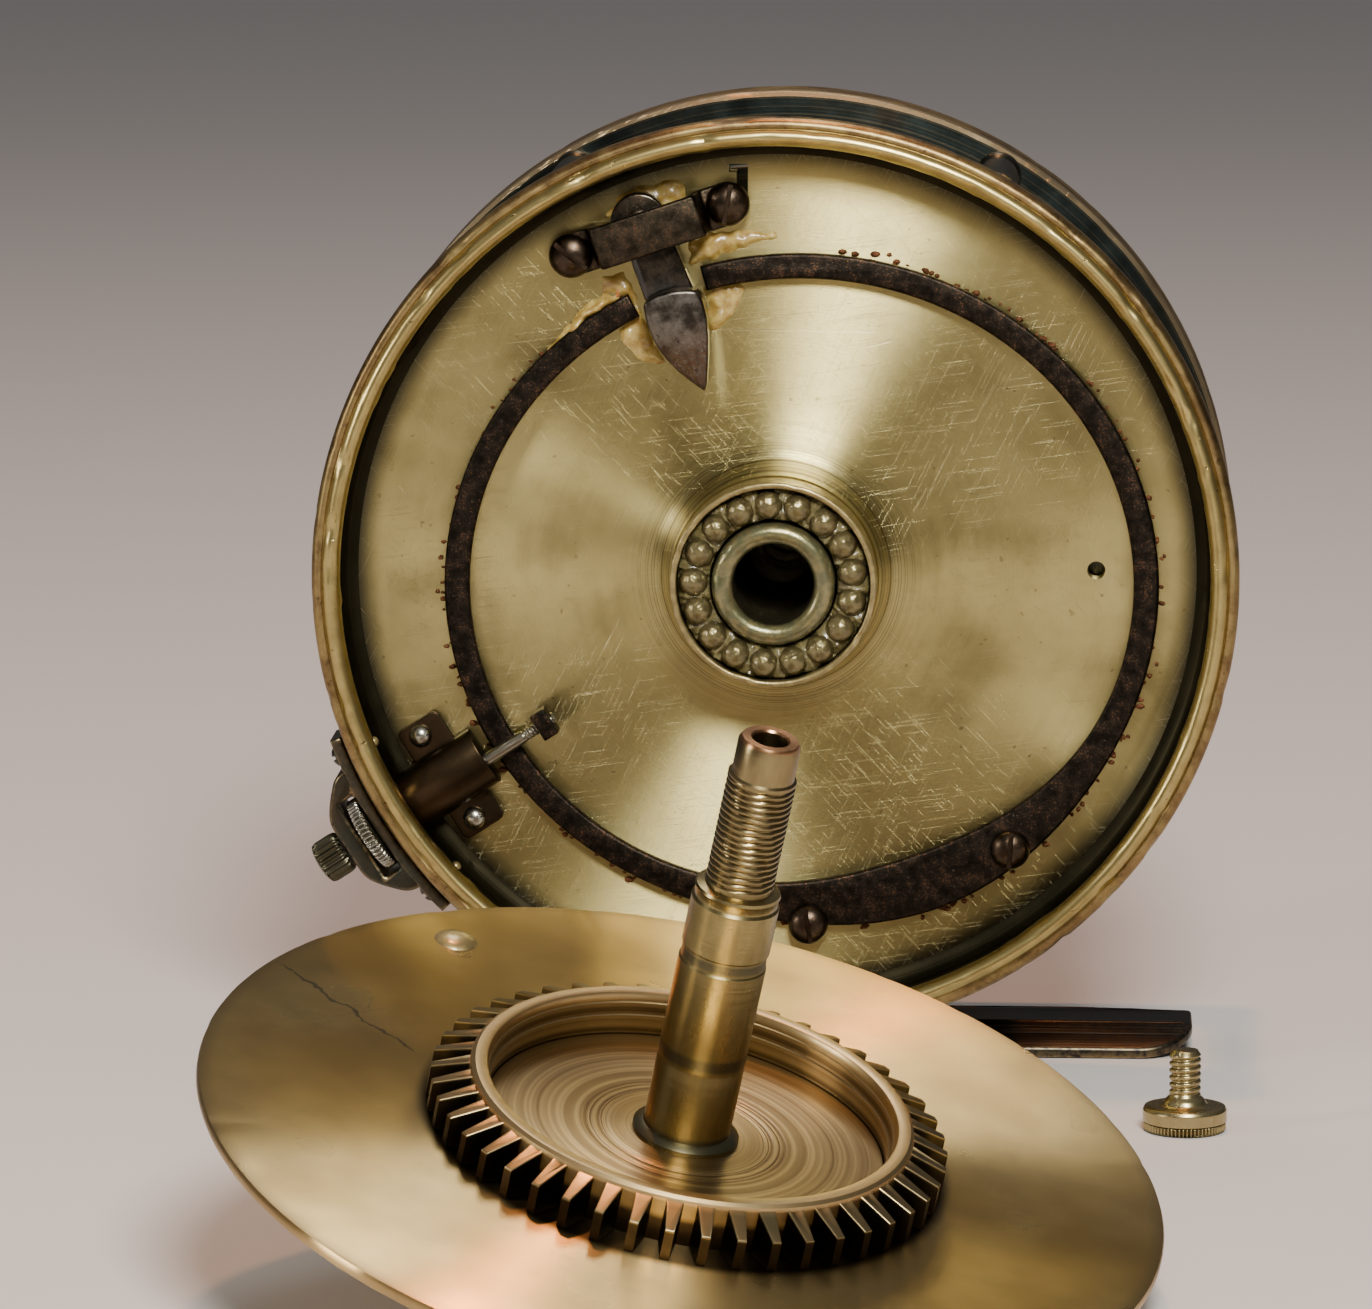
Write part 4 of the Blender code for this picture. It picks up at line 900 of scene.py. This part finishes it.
def make_pawl():
    """The pawl and the post it swings on."""
    neck = arc(0.0, 0.0, 3.1, 40.0, 320.0, 36)
    neck += [(4, -2.4), (10.5, -2.5), (11, 0), (10.5, 3), (4, 2.8)]
    tongue = [(8.3, -2.55), (8, -1), (8.1, 1), (8.6, 2.6), (9.1, 3.6), (10.5, 3.65), (12.3, 3.4),
              (14.5, 2.7), (17, 1.7), (19.3, 0.65), (19.9, 0.2), (18.5, -0.7), (16.7, -1.75),
              (14.7, -2.55), (12.8, -2.95), (10.5, -2.95)]
    body = slab([rounded(tongue, 0.5)], SEAT, -1.3, 0.5)
    for point in body.vertices:
        if point.co.z > -4.0:
            point.co.z -= 1.9 * (point.co.x - 8.3) / 11.6
    mesh = carve(slab([rounded(neck, 0.5)], SEAT, -4.7, 0.3), [body], "UNION")
    matrix = moved(*polar(PAWL_PIVOT_RADIUS_AT, PAWL_ANGLE), 0.0, PAWL_ANGLE + 180.0)

    def paint(x, y, z):
        return 1 if x < 7.9 or z < -4.5 else 0

    place("pawl_lever", mesh, "pawl", "pawl wet_steel", matrix, "pawl_arm", paint=paint,
          angle=40.0)
    post = [(0, -4.45), (0.9, -4.45), (1.25, -4.62), (1.4, -4.75), (1.2, -5), (1.2, -10.1),
            (0, -10.1)]
    place("pawl_pin", revolve(post, 48), "pawl_post", "steel",
          moved(*polar(PAWL_PIVOT_RADIUS_AT, PAWL_ANGLE)))


def make_screw(name, node, matrix, radius, height, shank=3.4, finish="screw"):
    """A domed screw with a straight slot."""
    outline = dome(radius, height, 14.0, 12)
    outline += [(radius, 0.03), (radius * 0.94, 0.0), (1.0, 0.0), (1.0, -shank), (0.0, -shank)]
    mesh = revolve(outline, 72)
    deep = height * 0.55
    slit = block((-radius * 1.1, -0.27, height - deep), (radius * 1.1, 0.27, height + 1.0))
    place(name, carve(mesh, [slit]), node, finish, matrix, angle=40.0)


def make_bridge():
    """The strap over the pawl, with a domed screw at each end."""
    left = Vector(BRIDGE_LEFT)
    right = Vector(BRIDGE_RIGHT)
    middle = (left + right) / 2
    lean = math.degrees(math.atan2(right.y - left.y, right.x - left.x))
    side = rounded([(-10.45, -7.7), (-5.55, -7.7), (-4.85, -4), (4.85, -4), (5.55, -7.7),
                    (10.45, -7.7), (10.45, -6.5), (6.45, -6.5), (6.05, -2.8), (-6.05, -2.8),
                    (-6.45, -6.5), (-10.45, -6.5)], 0.55)
    strap = slab([side], -2.35, 2.35, 0.3)
    strap.transform(rotation(90.0, "X"))
    plan = arc(-8.1, 0.0, 2.36, 90.0, 270.0, 24) + arc(8.1, 0.0, 2.36, -90.0, 90.0, 24)
    place("bridge_strap", carve(strap, [slab([plan], -9.0, 0.0, 0.0)], "INTERSECT"), "pawl_bridge",
          "steel", moved(*middle, 0.0, lean), angle=40.0)
    for name, spot, turn in (("left", left, -38.0), ("right", right, 80.0)):
        make_screw(f"bridge_screw_head_{name}", f"bridge_screw_{name}", moved(*spot, -6.45, turn), 2.45,
                   1.65)


def spring_point(turn, offset):
    """A point beside the spring's centre line."""
    angle = math.radians(turn)
    normal = Vector((SPRING_RADII[1] * math.cos(angle), SPRING_RADII[0] * math.sin(angle))).normalized()
    return (SPRING_CENTRE[0] + SPRING_RADII[0] * math.cos(angle) + normal.x * offset,
            SPRING_CENTRE[1] + SPRING_RADII[1] * math.sin(angle) + normal.y * offset)


def spring_width(turn):
    """The spring's width, greatest where its screws hold it."""
    return 2.8 + 3.8 * math.exp(-((turn - SPRING_THICKEST) / 27.0) ** 2)


def make_spring():
    """The C-shaped spring, in two halves, and the rust along its edge."""
    turns = np.linspace(119.0, 466.5, 150)
    widths = [spring_width(t) for t in turns]
    edge = [spring_point(t, w / 2) for t, w in zip(turns, widths)]
    edge += [spring_point(t, -w / 2) for t, w in zip(turns[::-1], widths[::-1])]
    split = Matrix.Translation((*SPRING_CENTRE, 0.0)) @ rotation(SPRING_SPLIT, "Z")
    bends = (("left", -60.0, (-20, 24), (-15.5, 31.5)), ("right", 0.0, (2, 33.9), (-8, 33)))
    for side, low, start, end in bends:
        half_plane = block((-60.0, low, -20.0), (60.0, low + 60.0, 10.0))
        half_plane.transform(split)
        mesh = carve(slab([edge], SEAT, -6.4, 0.4), [half_plane], "INTERSECT")
        piece = place(f"spring_{side}", mesh, "check_spring", "spring", body=None)
        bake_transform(piece)
    for i, (spot, turn) in enumerate(zip(SPRING_SCREWS, (86.0, 100.0))):
        make_screw(f"spring_screw_head_{i + 1}", f"spring_screw_{i + 1}", moved(*spot, -6.38, turn),
                   2.2, 1.5)
    crumbs = bmesh.new()
    pick = np.random.default_rng(7)
    for turn in pick.uniform(135.0, 445.0, CRUMB_COUNT):
        x, y = spring_point(turn, spring_width(turn) / 2 + pick.normal(0.25, 0.3))
        size = pick.uniform(0.12, 0.34)
        shape = Matrix.Diagonal((size * pick.uniform(0.8, 1.8), size, size * 0.7, 1.0))
        spot = Matrix.Translation((x, y, FACE + 0.05))
        bmesh.ops.create_icosphere(crumbs, subdivisions=2, radius=1.0, matrix=spot @ shape)
    for point in crumbs.verts:
        x, y, z = point.co
        point.co += 0.12 * Vector([noise_at(x + gap, y, z, 0.25) for gap in (0.0, 9.7, 21.3)])
    place("rust_crumbs", solid(crumbs), None, "rust")


def smear(name, height, outline, finish="grease", step=0.25):
    """A lump of old grease with a soft edge that sinks into what it lies on."""
    corners = np.array(outline, float)
    low = corners.min(0) - 0.6
    high = corners.max(0) + 0.6
    xs = np.arange(low[0], high[0], step)
    ys = np.arange(low[1], high[1], step)
    px, py = np.meshgrid(xs, ys, indexing="ij")
    depth = np.full(px.shape, 1e9)
    inside = np.zeros(px.shape, bool)
    for a, b in zip(corners, np.roll(corners, -1, 0)):
        dx, dy = b - a
        along = np.clip(((px - a[0]) * dx + (py - a[1]) * dy) / (dx * dx + dy * dy), 0.0, 1.0)
        away = np.hypot(px - a[0] - along * dx, py - a[1] - along * dy)
        depth = np.minimum(depth, away)
        crosses = (a[1] > py) != (b[1] > py)
        with np.errstate(divide="ignore", invalid="ignore"):
            inside ^= crosses & (px < dx * (py - a[1]) / dy + a[0])
    depth = np.where(inside, depth, -depth)
    wobble = np.array([[noise_at(x, y, FACE, 1.1) for y in ys] for x in xs])
    depth = depth + 0.35 * wobble
    z = FACE - 0.12 + height * np.tanh(np.clip(depth, 0.0, None) / 0.7) * (1.0 + 0.45 * wobble)
    keep = depth > -0.15
    verts = [(x, y, h) for x, y, h in zip(px.ravel(), py.ravel(), z.ravel())]
    count = len(ys)
    faces = [(i * count + j, (i + 1) * count + j, (i + 1) * count + j + 1, i * count + j + 1)
             for i in range(len(xs) - 1) for j in range(count - 1)
             if keep[i, j] and keep[i + 1, j] and keep[i, j + 1] and keep[i + 1, j + 1]]
    mesh = bpy.data.meshes.new("smear")
    mesh.from_pydata(verts, [], faces)
    work = bmesh.new()
    work.from_mesh(mesh)
    bmesh.ops.delete(work, geom=[v for v in work.verts if not v.link_faces], context="VERTS")
    place(name, solid(work), None, finish, angle=180.0)


def make_grease():
    """Grease pushed off the pawl and its spring, where the photo shows it."""
    smear("grease_above_pawl", 0.6, [(-18.8, 39.4), (-17.5, 41.5), (-15.4, 42.6), (-13.3, 43.1),
          (-11.2, 43.5), (-9.9, 42.6), (-9.9, 40.5), (-12.2, 39.4), (-15.4, 38.9)])
    smear("grease_right_of_bridge", 0.7, [(-9.9, 36.3), (-7.5, 37.8), (-4.4, 37.9), (0.1, 37.5),
          (0.3, 36.9), (-2.8, 36.1), (-7, 34.5), (-9.6, 33.9)])
    smear("grease_right_of_pawl", 0.7, [(-8.3, 31.9), (-5.4, 32.4), (-3.5, 31.7), (-3.9, 29.8),
          (-4.9, 28.2), (-6.5, 26.7), (-7.4, 26.6), (-7.6, 29.2)])
    smear("grease_left_of_pawl", 0.6, [(-19.3, 32.8), (-16.7, 33.4), (-15.6, 31), (-14.3, 27.9),
          (-13.3, 25.3), (-11.7, 23), (-13.3, 22.9), (-15.4, 23.7), (-16.7, 25), (-17.6, 26.8),
          (-15.6, 28.7), (-16.4, 30.2), (-19.3, 31)])
    smear("grease_on_spring", 1.9, [(-25.9, 24), (-23.3, 27), (-21.4, 29.4), (-19.1, 31),
          (-17, 30.4), (-20.1, 28.1), (-22.7, 25.7), (-25.1, 23.6)])
    smear("grease_streak", 1.0, [(-17.8, 32.8), (-17.1, 32.8), (-17.1, 30.2),
          (-17.9, 30.2)], "rust_grease", 0.12)


def make_regulator():
    """Block, rod, nut, wheel, cover and knob of the tension regulator."""
    flange = [(40, -7.6), (45.2, -7.6), (45.2, 6.6), (40, 6.6)]
    section = [(-3.9, -7.6), (2.9, -7.6), (2.9, -4.9), (0.9, -3.45), (-1.9, -3.45), (-3.9, -4.9)]
    body = slab([rounded(section, 1.2, True, 6)], 38.0, 48.2, 0.2)
    body.transform(Matrix(((0, 0, 1, 0), (1, 0, 0, 0), (0, 1, 0, 0), (0, 0, 0, 1))))
    place("regulator_housing", joined([slab([rounded(flange, 0.8)], SEAT, -6.9, 0.15), body]),
          "regulator_block", "block", REGULATOR)
    for i, offset in enumerate((4.9, -6.0)):
        rivet = dome(1.3, 1.1, 0.0, 12) + [(0.6, 0), (0.6, -3), (0, -3)]
        place(f"block_rivet_dome_{i + 1}", revolve(rivet, 40), f"block_rivet_{i + 1}",
              "silver", moved(43.0, offset, -6.88, 0.0, REGULATOR))
    shaft = dense([(0, 54.6), (0.6, 54.6), (0.7, 54.5), (0.7, 33.5)], 0.6)
    shaft += dense([(0.7, 33.4), (0.7, 29.2), (0.55, 29), (0, 29)], 0.07)
    place("regulator_shaft", revolve(shaft, 40, False, thread(0.7, 0.12, 0.45, 29.2, 33.2)),
          "regulator_rod", "rod", OUTWARD, "regulator_screw")
    square = [(-1.6, -1.6), (1.6, -1.6), (1.6, 1.6), (-1.6, 1.6)]
    place("regulator_square_nut", slab([rounded(square, 0.25)], 29.4, 31.2, 0.15), "regulator_nut",
          "spring", OUTWARD, "regulator_screw")
    wheel = dense([(0.8, 52.4), (3.9, 52.4), (4.35, 52.6), (4.35, 53.7), (3.9, 53.9),
                   (0.8, 53.9)], 0.4, True)
    place("regulator_click_wheel", revolve(wheel, 480, True, fluted(48, 0.3, 52.5, 53.8, 1.5)),
          "regulator_wheel", "silver", OUTWARD, "regulator_adjuster", angle=60.0)
    knob = dense([(0.75, 56.6), (2, 56.6), (2.35, 56.9), (2.45, 57.3), (2.45, 59.3), (2.3, 59.7),
                  (1.9, 59.9), (1, 60), (0, 60.02)], 0.3)
    place("regulator_finger_knob", revolve(knob, 240, False, fluted(20, 0.28, 56.7, 59.6, 0.8)),
          "regulator_knob", "knob", OUTWARD, "regulator_adjuster", angle=50.0)
    make_cover()


def make_cover():
    """The curved plate outside the wall, raised into a slotted housing round the wheel."""
    plate = arc(0.0, 0.0, 52.3, -12.5, 12.5, 40) + arc(0.0, 0.0, 51.05, 12.5, -12.5, 40)
    raised = [(50.9, -7.8), (53, -7.6), (55.1, -5.4), (56.3, -3.6), (56.3, 3.6), (55.1, 5.4),
              (53, 7.6), (50.9, 7.8)]
    slot = [(52.3, -4.8), (54.2, -4.8), (54.2, 4.8), (52.3, 4.8)]
    outlines = [rounded(raised, 1.6, True, 6), rounded(slot, 0.4)]
    place("regulator_guard",
          joined([slab([plate], -10.0, -2.2, 0.25), slab(outlines, -9.6, -2.4, 0.45)]),
          "regulator_cover", "bronze", REGULATOR)
    for i, turn in enumerate((-9.9, 9.9)):
        x, y = polar(52.45, turn)
        aim = moved(x, y, -6.2, turn, REGULATOR) @ rotation(90.0, "Y")
        make_screw(f"cover_screw_{i + 1}", f"cover_rivet_{i + 1}", aim, 1.2, 0.9, 1.0,
                   "bronze")
        x, y = polar(48.35, turn)
        inward = moved(x, y, -6.2, turn, REGULATOR) @ rotation(-90.0, "Y")
        rivet = dome(0.62, 0.55, 0.0, 8) + [(0.62, -0.4), (0, -0.4)]
        place(f"cover_rivet_end_{i + 1}", revolve(rivet, 32), None, "cup", inward)


def make_cage():
    """Rear plate, its bush and the six pillars."""
    outline = [(5.8, -38), (50.15, -38), (50.62, -38.35), (50.8, -38.8), (50.8, -44.9),
               (50.6, -45.6), (50.1, -46), (48.9, -46), (48.3, -45.8), (47.8, -45), (47.3, -41.6),
               (46.4, -41)]
    outline += [(45.0 - 0.6 * i, -41.0 - 0.05 * (i % 2)) for i in range(6)]
    outline += [(30, -41), (15, -41), (11.6, -41.05), (11.1, -41.4), (10.3, -43.5),
                (9.8, -44), (5.8, -44)]
    mesh = revolve(outline, 256, True, dented(0.2, 3.0, 50.0, 12.0))

    def paint(x, y, z):
        radius = math.hypot(x, y)
        if radius > 50.2 and z > -38.75:
            return 1
        return 2 if radius > 47.0 and z < -38.2 else 0

    place("rear_side_plate", mesh, "rear_plate", "slate bevel rim", paint=paint,
          angle=30.0)
    bush = [(0, -45.95), (4.6, -45.95), (5.1, -45.7), (5.4, -45.2), (5.5, -44.3), (5.5, -38.2),
            (5.3, -38), (3.2, -38), (3, -38.2), (3, -45.3), (2.8, -45.5), (0, -45.5)]
    place("rear_bearing_bush", revolve(bush, 96), "rear_bush", "cup")
    pillar = [(0, -11.2), (2.5, -11.2), (2.6, -11.4), (2.6, -12.6), (2.4, -12.9), (2.1, -13.2),
              (2.25, -14.5), (2.3, -17), (2.3, -32), (2.25, -34.5), (2.1, -35.8), (2.4, -36.1),
              (2.6, -36.4), (2.6, -37.6), (2.5, -37.85), (0, -37.85)]
    for i in range(PILLAR_COUNT):
        x, y = polar(PILLAR_RADIUS_AT, 360.0 / PILLAR_COUNT * i)
        place(f"cage_pillar_{i + 1}", revolve(dense(pillar, 2.0), 48), f"pillar_{i + 1}",
              "bronze", moved(x, y, 0.0, 60.0 * i), angle=40.0)


def make_drum():
    """The line drum with rolled flange edges, and its bush."""
    outline = [(6.4, -12.2), (43, -12.2), (44.3, -12), (44.8, -12.5), (44.8, -13.2), (44.3, -13.7),
               (43, -13.4), (16, -13.4), (14.6, -13.8), (14, -15), (14, -34.6), (14.6, -35.8),
               (16, -36.2), (43, -36.2), (44.3, -35.9), (44.8, -36.4), (44.8, -37.1), (44.3, -37.5),
               (43, -37.4), (6.4, -37.4)]
    place("spool", revolve(rounded(outline, 0.4, True, 3), 192, True), "line_drum",
          "drum", body="drum")
    bush = rounded([(4.7, -12.6), (6.25, -12.6), (6.25, -37.2), (3.6, -37.2), (3.6, -25.4),
                    (4.7, -24.2)], 0.2)
    # The bush is in the darker copy of the greasy brass: painted shade deep in the hub.
    place("spool_bush", revolve(dense(bush, 0.12, True), 64, True), "drum_bush",
          "bore", body="drum")


def make_foot():
    """The arched foot, the saddle that carries the cage and the screws between them."""
    half_x, half_y, corner = 46.5, 9.5, 6.0
    plan = []
    for turn, sx, sy in ((0.0, 1, 1), (90.0, -1, 1), (180.0, -1, -1), (270.0, 1, -1)):
        plan += arc(sx * (half_x - corner), sy * (half_y - corner), corner, turn, turn + 90.0, 12)
    mesh = slab([plan], 0.0, 1.5, 0.3)
    work = bmesh.new()
    work.from_mesh(mesh)
    for y in np.arange(-9.0, 9.1, 0.5):
        everything = work.verts[:] + work.edges[:] + work.faces[:]
        bmesh.ops.bisect_plane(work, geom=everything, plane_co=(0.0, y, 0.0), plane_no=(0.0, 1.0, 0.0))
    for point in work.verts:
        reach = max(0.0, (abs(point.co.y) - 3.0) / 6.5)
        drop = 1.8 * (0.25 * reach + 0.75 * reach * reach)
        point.co.z -= drop + (0.3 * reach * reach if point.co.z > 0.75 else 0.0)
        end = max(0.0, (abs(point.co.x) - 40.0) / 6.5)
        point.co.z -= 0.35 * end * end if point.co.z + drop > 0.75 else 0.0
    place("foot_plate", solid(work), "reel_foot", "foot", WORLD)
    outline = arc(0.0, 0.0, 46.4, 282.4, 257.6, 24) + [(-8.5, -52.3), (8.5, -52.3)]
    place("cage_saddle", slab([outline], -37.6, -11.4, 0.3), "foot_saddle", "bronze")
    for i, x in enumerate((-6.0, 6.0)):
        screw = [(0, 0.25), (1.9, 0.25), (2, 0.35), (1.2, 1.15), (1.2, 4.6), (0, 4.6)]
        place(f"foot_screw_head_{i + 1}",
              carve(revolve(screw, 48), [block((-2.2, -0.2, 0.0), (2.2, 0.2, 0.6))]),
              f"foot_screw_{i + 1}", "screw", moved(x, 0.0, 0.0, 25.0 + 40.0 * i, WORLD))


# ---------------------------------------------------------------- the loose pieces


def make_handle_plate():
    """The plate, its ratchet ring and its spindle."""
    outline = [(2.6, 0.6), (19.45, 0.6), (19.5, 0), (30, 0), (40, 0), (46.8, 0),
               (47.25, -0.15), (47.4, -0.45), (47.4, -0.95), (47.25, -1.25), (46.8, -1.4), (30, -1.4),
               (10.7, -1.4), (10.2, -1.7), (10, -2.4), (9.7, -2.6), (2.6, -2.6)]
    mesh = revolve(outline, 320, True, dented(0.12, 2.6, 46.9, 5.0))

    def paint(x, y, z):
        return 1 if math.hypot(x, y) < 19.6 and z > 0.3 else 0

    place("handle_side_plate", mesh, "face_plate", "plate race_floor", PLATE,
          "handle_plate", paint=paint, angle=30.0)
    teeth = []
    pitch = 360.0 / TEETH
    for i in range(TEETH):
        corners = ((TOOTH_ROOT, 0.20), (TOOTH_TIP, 0.37), (TOOTH_TIP, 0.63), (TOOTH_ROOT, 0.80))
        teeth += [polar(radius, pitch * (i + share)) for radius, share in corners]
    bore = arc(0.0, 0.0, 20.4, 0.0, 357.5, 144)
    ring = slab([teeth, bore], 0.05, 4.6, 0.14)
    for point in ring.vertices:
        if point.co.z > 2.0:
            point.co.z -= 0.36 * max(0.0, point.co.to_2d().length - TOOTH_ROOT)
    lip = [(19.6, 0.05), (21.7, 0.05), (21.75, 4.35), (21.65, 4.7), (21.3, 4.97), (20.5, 5.03),
           (20.15, 4.92), (19.95, 4.6), (19.9, 4), (19.8, 3.9), (19.75, 2.7), (19.6, 2.6)]
    place("ratchet_wheel", carve(revolve(lip, 276, True), [ring], "UNION"), "ratchet_ring",
          "ratchet", PLATE, "handle_plate", angle=30.0)
    shaft = [(5.2, 0.62), (5.2, 1), (4.75, 1.35), (4.3, 1.5), (4.25, 2), (4.25, 8.6), (4.2, 8.9),
             (4.25, 9.2), (4.25, 19.4), (4.12, 19.6), (4.12, 20.9), (4.25, 21.1), (4.25, 25.9),
             (4.05, 26.2), (4.05, 26.9), (4.15, 27.1), (4.05, 27.4), (3.3, 27.6)]
    tip = [(3.05, 39.4), (3, 39.8), (3, 42.6), (2.7, 43.1), (1.9, 43.1), (1.75, 42.9), (1.75, 36.1),
           (0, 36.1)]
    whole = [(0, 0.62)] + shaft + dense([(3.3, 27.7), (3.3, 39.2)], 0.09) + tip
    place("threaded_spindle", revolve(whole, 96, False, thread(3.3, 0.24, 0.64, 27.9, 39.1)), "spindle",
          "spindle", PLATE, "handle_plate", angle=32.0)


def make_handle():
    """The knob the plate rests on, and the pin it turns on."""
    frame_here = PLATE_LEAN.copy()
    frame_here.translation = Vector(JOINTS["handle_spin"]["pos_m"])
    rivet = [(0, 0.7), (0.8, 0.66), (1.6, 0.45), (2.1, 0.15), (2.2, 0.02), (1.5, 0.02), (1.5, -27.9),
             (2.7, -27.9), (2.7, -29.1), (2.3, -29.4), (0, -29.45)]
    place("handle_rivet", revolve(rivet, 64), "handle_pin", "cup", frame_here,
          "handle_plate")
    knob = rounded([(1.9, -1.7), (4.4, -1.7), (5, -2.3), (4.4, -5.7), (4, -10.7), (4.8, -16.7),
                    (6, -22.2), (6.25, -25), (6.1, -27), (5.4, -28.9), (4.4, -29.7), (3, -29.7),
                    (3, -28.1), (1.9, -28.1)], 1.2, True, 6)
    place("handle_grip", revolve(knob, 96, True), "handle_knob", "wood", frame_here,
          "handle", angle=50.0)


def make_thumb_screw():
    """The screw that holds the spindle, standing on its head."""
    head = dense([(0, 0), (4, 0), (4.3, 0.15), (4.4, 0.35), (4.4, 0.9), (4.25, 1),
                  (4.5, 1.15), (4.5, 2.35), (4.3, 2.7), (3.8, 2.8), (2.7, 2.8), (2.4, 2.95),
                  (2.15, 3.4), (1.75, 3.8)], 0.12)
    stud = dense([(1.7, 3.9), (1.7, 8.3), (1.35, 8.8), (0, 8.8)], 0.07)
    knurl = fluted(64, 0.26, 0.12, 0.95, 1.0)
    screw = thread(1.7, 0.26, 0.77, 3.95, 8.45)

    def warp(r, a, z):
        r, z = knurl(r, a, z)
        return screw(r, a, z)

    place("thumb_nut", revolve(head + stud, 512, False, warp), "thumb_screw", "thumb",
          THUMB, "thumb_screw_body", angle=60.0)


# ---------------------------------------------------------------- the setting


def make_setting():
    """A plain pale floor, plain soft light and the camera at the photo's angle."""
    floor_mesh = bpy.data.meshes.new("floor")
    reach = 6.0
    floor_mesh.from_pydata([(-reach, -reach, FLOOR), (reach, -reach, FLOOR), (reach, reach, FLOOR),
                            (-reach, reach, FLOOR)], [], [(0, 1, 2, 3)])
    floor = added("floor", floor_mesh)
    finish = bpy.data.materials.new("floor_card")
    finish.use_nodes = True
    shader = finish.node_tree.nodes["Principled BSDF"]
    shader.inputs["Base Color"].default_value = (0.66, 0.63, 0.62, 1.0)
    shader.inputs["Roughness"].default_value = 0.85
    floor_mesh.materials.append(finish)
    world = bpy.data.worlds.new("soft_light")
    world.use_nodes = True
    nodes = world.node_tree.nodes
    links = world.node_tree.links
    ramp = nodes.new("ShaderNodeValToRGB")
    direction = nodes.new("ShaderNodeTexCoord")
    split = nodes.new("ShaderNodeSeparateXYZ")
    links.new(direction.outputs["Generated"], split.inputs[0])
    links.new(split.outputs["Z"], ramp.inputs["Fac"])
    ramp.color_ramp.elements[0].color = (0.10, 0.095, 0.09, 1.0)
    ramp.color_ramp.elements[1].color = (0.55, 0.55, 0.56, 1.0)
    links.new(ramp.outputs["Color"], nodes["Background"].inputs["Color"])
    nodes["Background"].inputs["Strength"].default_value = 0.38
    bpy.context.scene.world = world
    lamp("key", (0.15, -0.80, 0.64), (0.0, -0.05, 0.05), 0.30, 13.0, (1.0, 0.97, 0.90))
    lamp("top", (0.02, 0.42, 0.88), (0.0, -0.10, 0.02), 0.30, 1.5, (1.0, 0.98, 0.94))
    lamp("side", (-0.80, -0.45, 0.30), (0.0, -0.10, 0.03), 0.20, 2.5, (1.0, 0.93, 0.84))
    lamp("warm", (0.00, 0.05, 0.88), (0.0, -0.12, 0.02), 0.07, 2.4, (1.0, 0.42, 0.17))
    data = bpy.data.cameras.new("camera")
    data.lens = LENS
    camera = added("camera", data)
    camera.location = CAMERA_AT
    camera.rotation_euler = [math.radians(turn) for turn in CAMERA_TURN]
    bpy.context.scene.camera = camera


def lamp(name, where, target, size, power, colour):
    """A soft round lamp aimed at a point."""
    data = bpy.data.lights.new(name, "AREA")
    data.shape = "DISK"
    data.size = size
    data.energy = power
    data.color = colour
    light = added(name, data)
    light.location = where
    light.rotation_euler = (Vector(target) - Vector(where)).to_track_quat("-Z", "Y").to_euler()


def main():
    """Build every piece, then the setting."""
    for make in (make_housing, make_ball_race, make_pawl, make_bridge, make_spring, make_grease,
                 make_regulator, make_cage, make_drum, make_foot, make_handle_plate, make_handle,
                 make_thumb_screw):
        make()
    make_setting()


main()
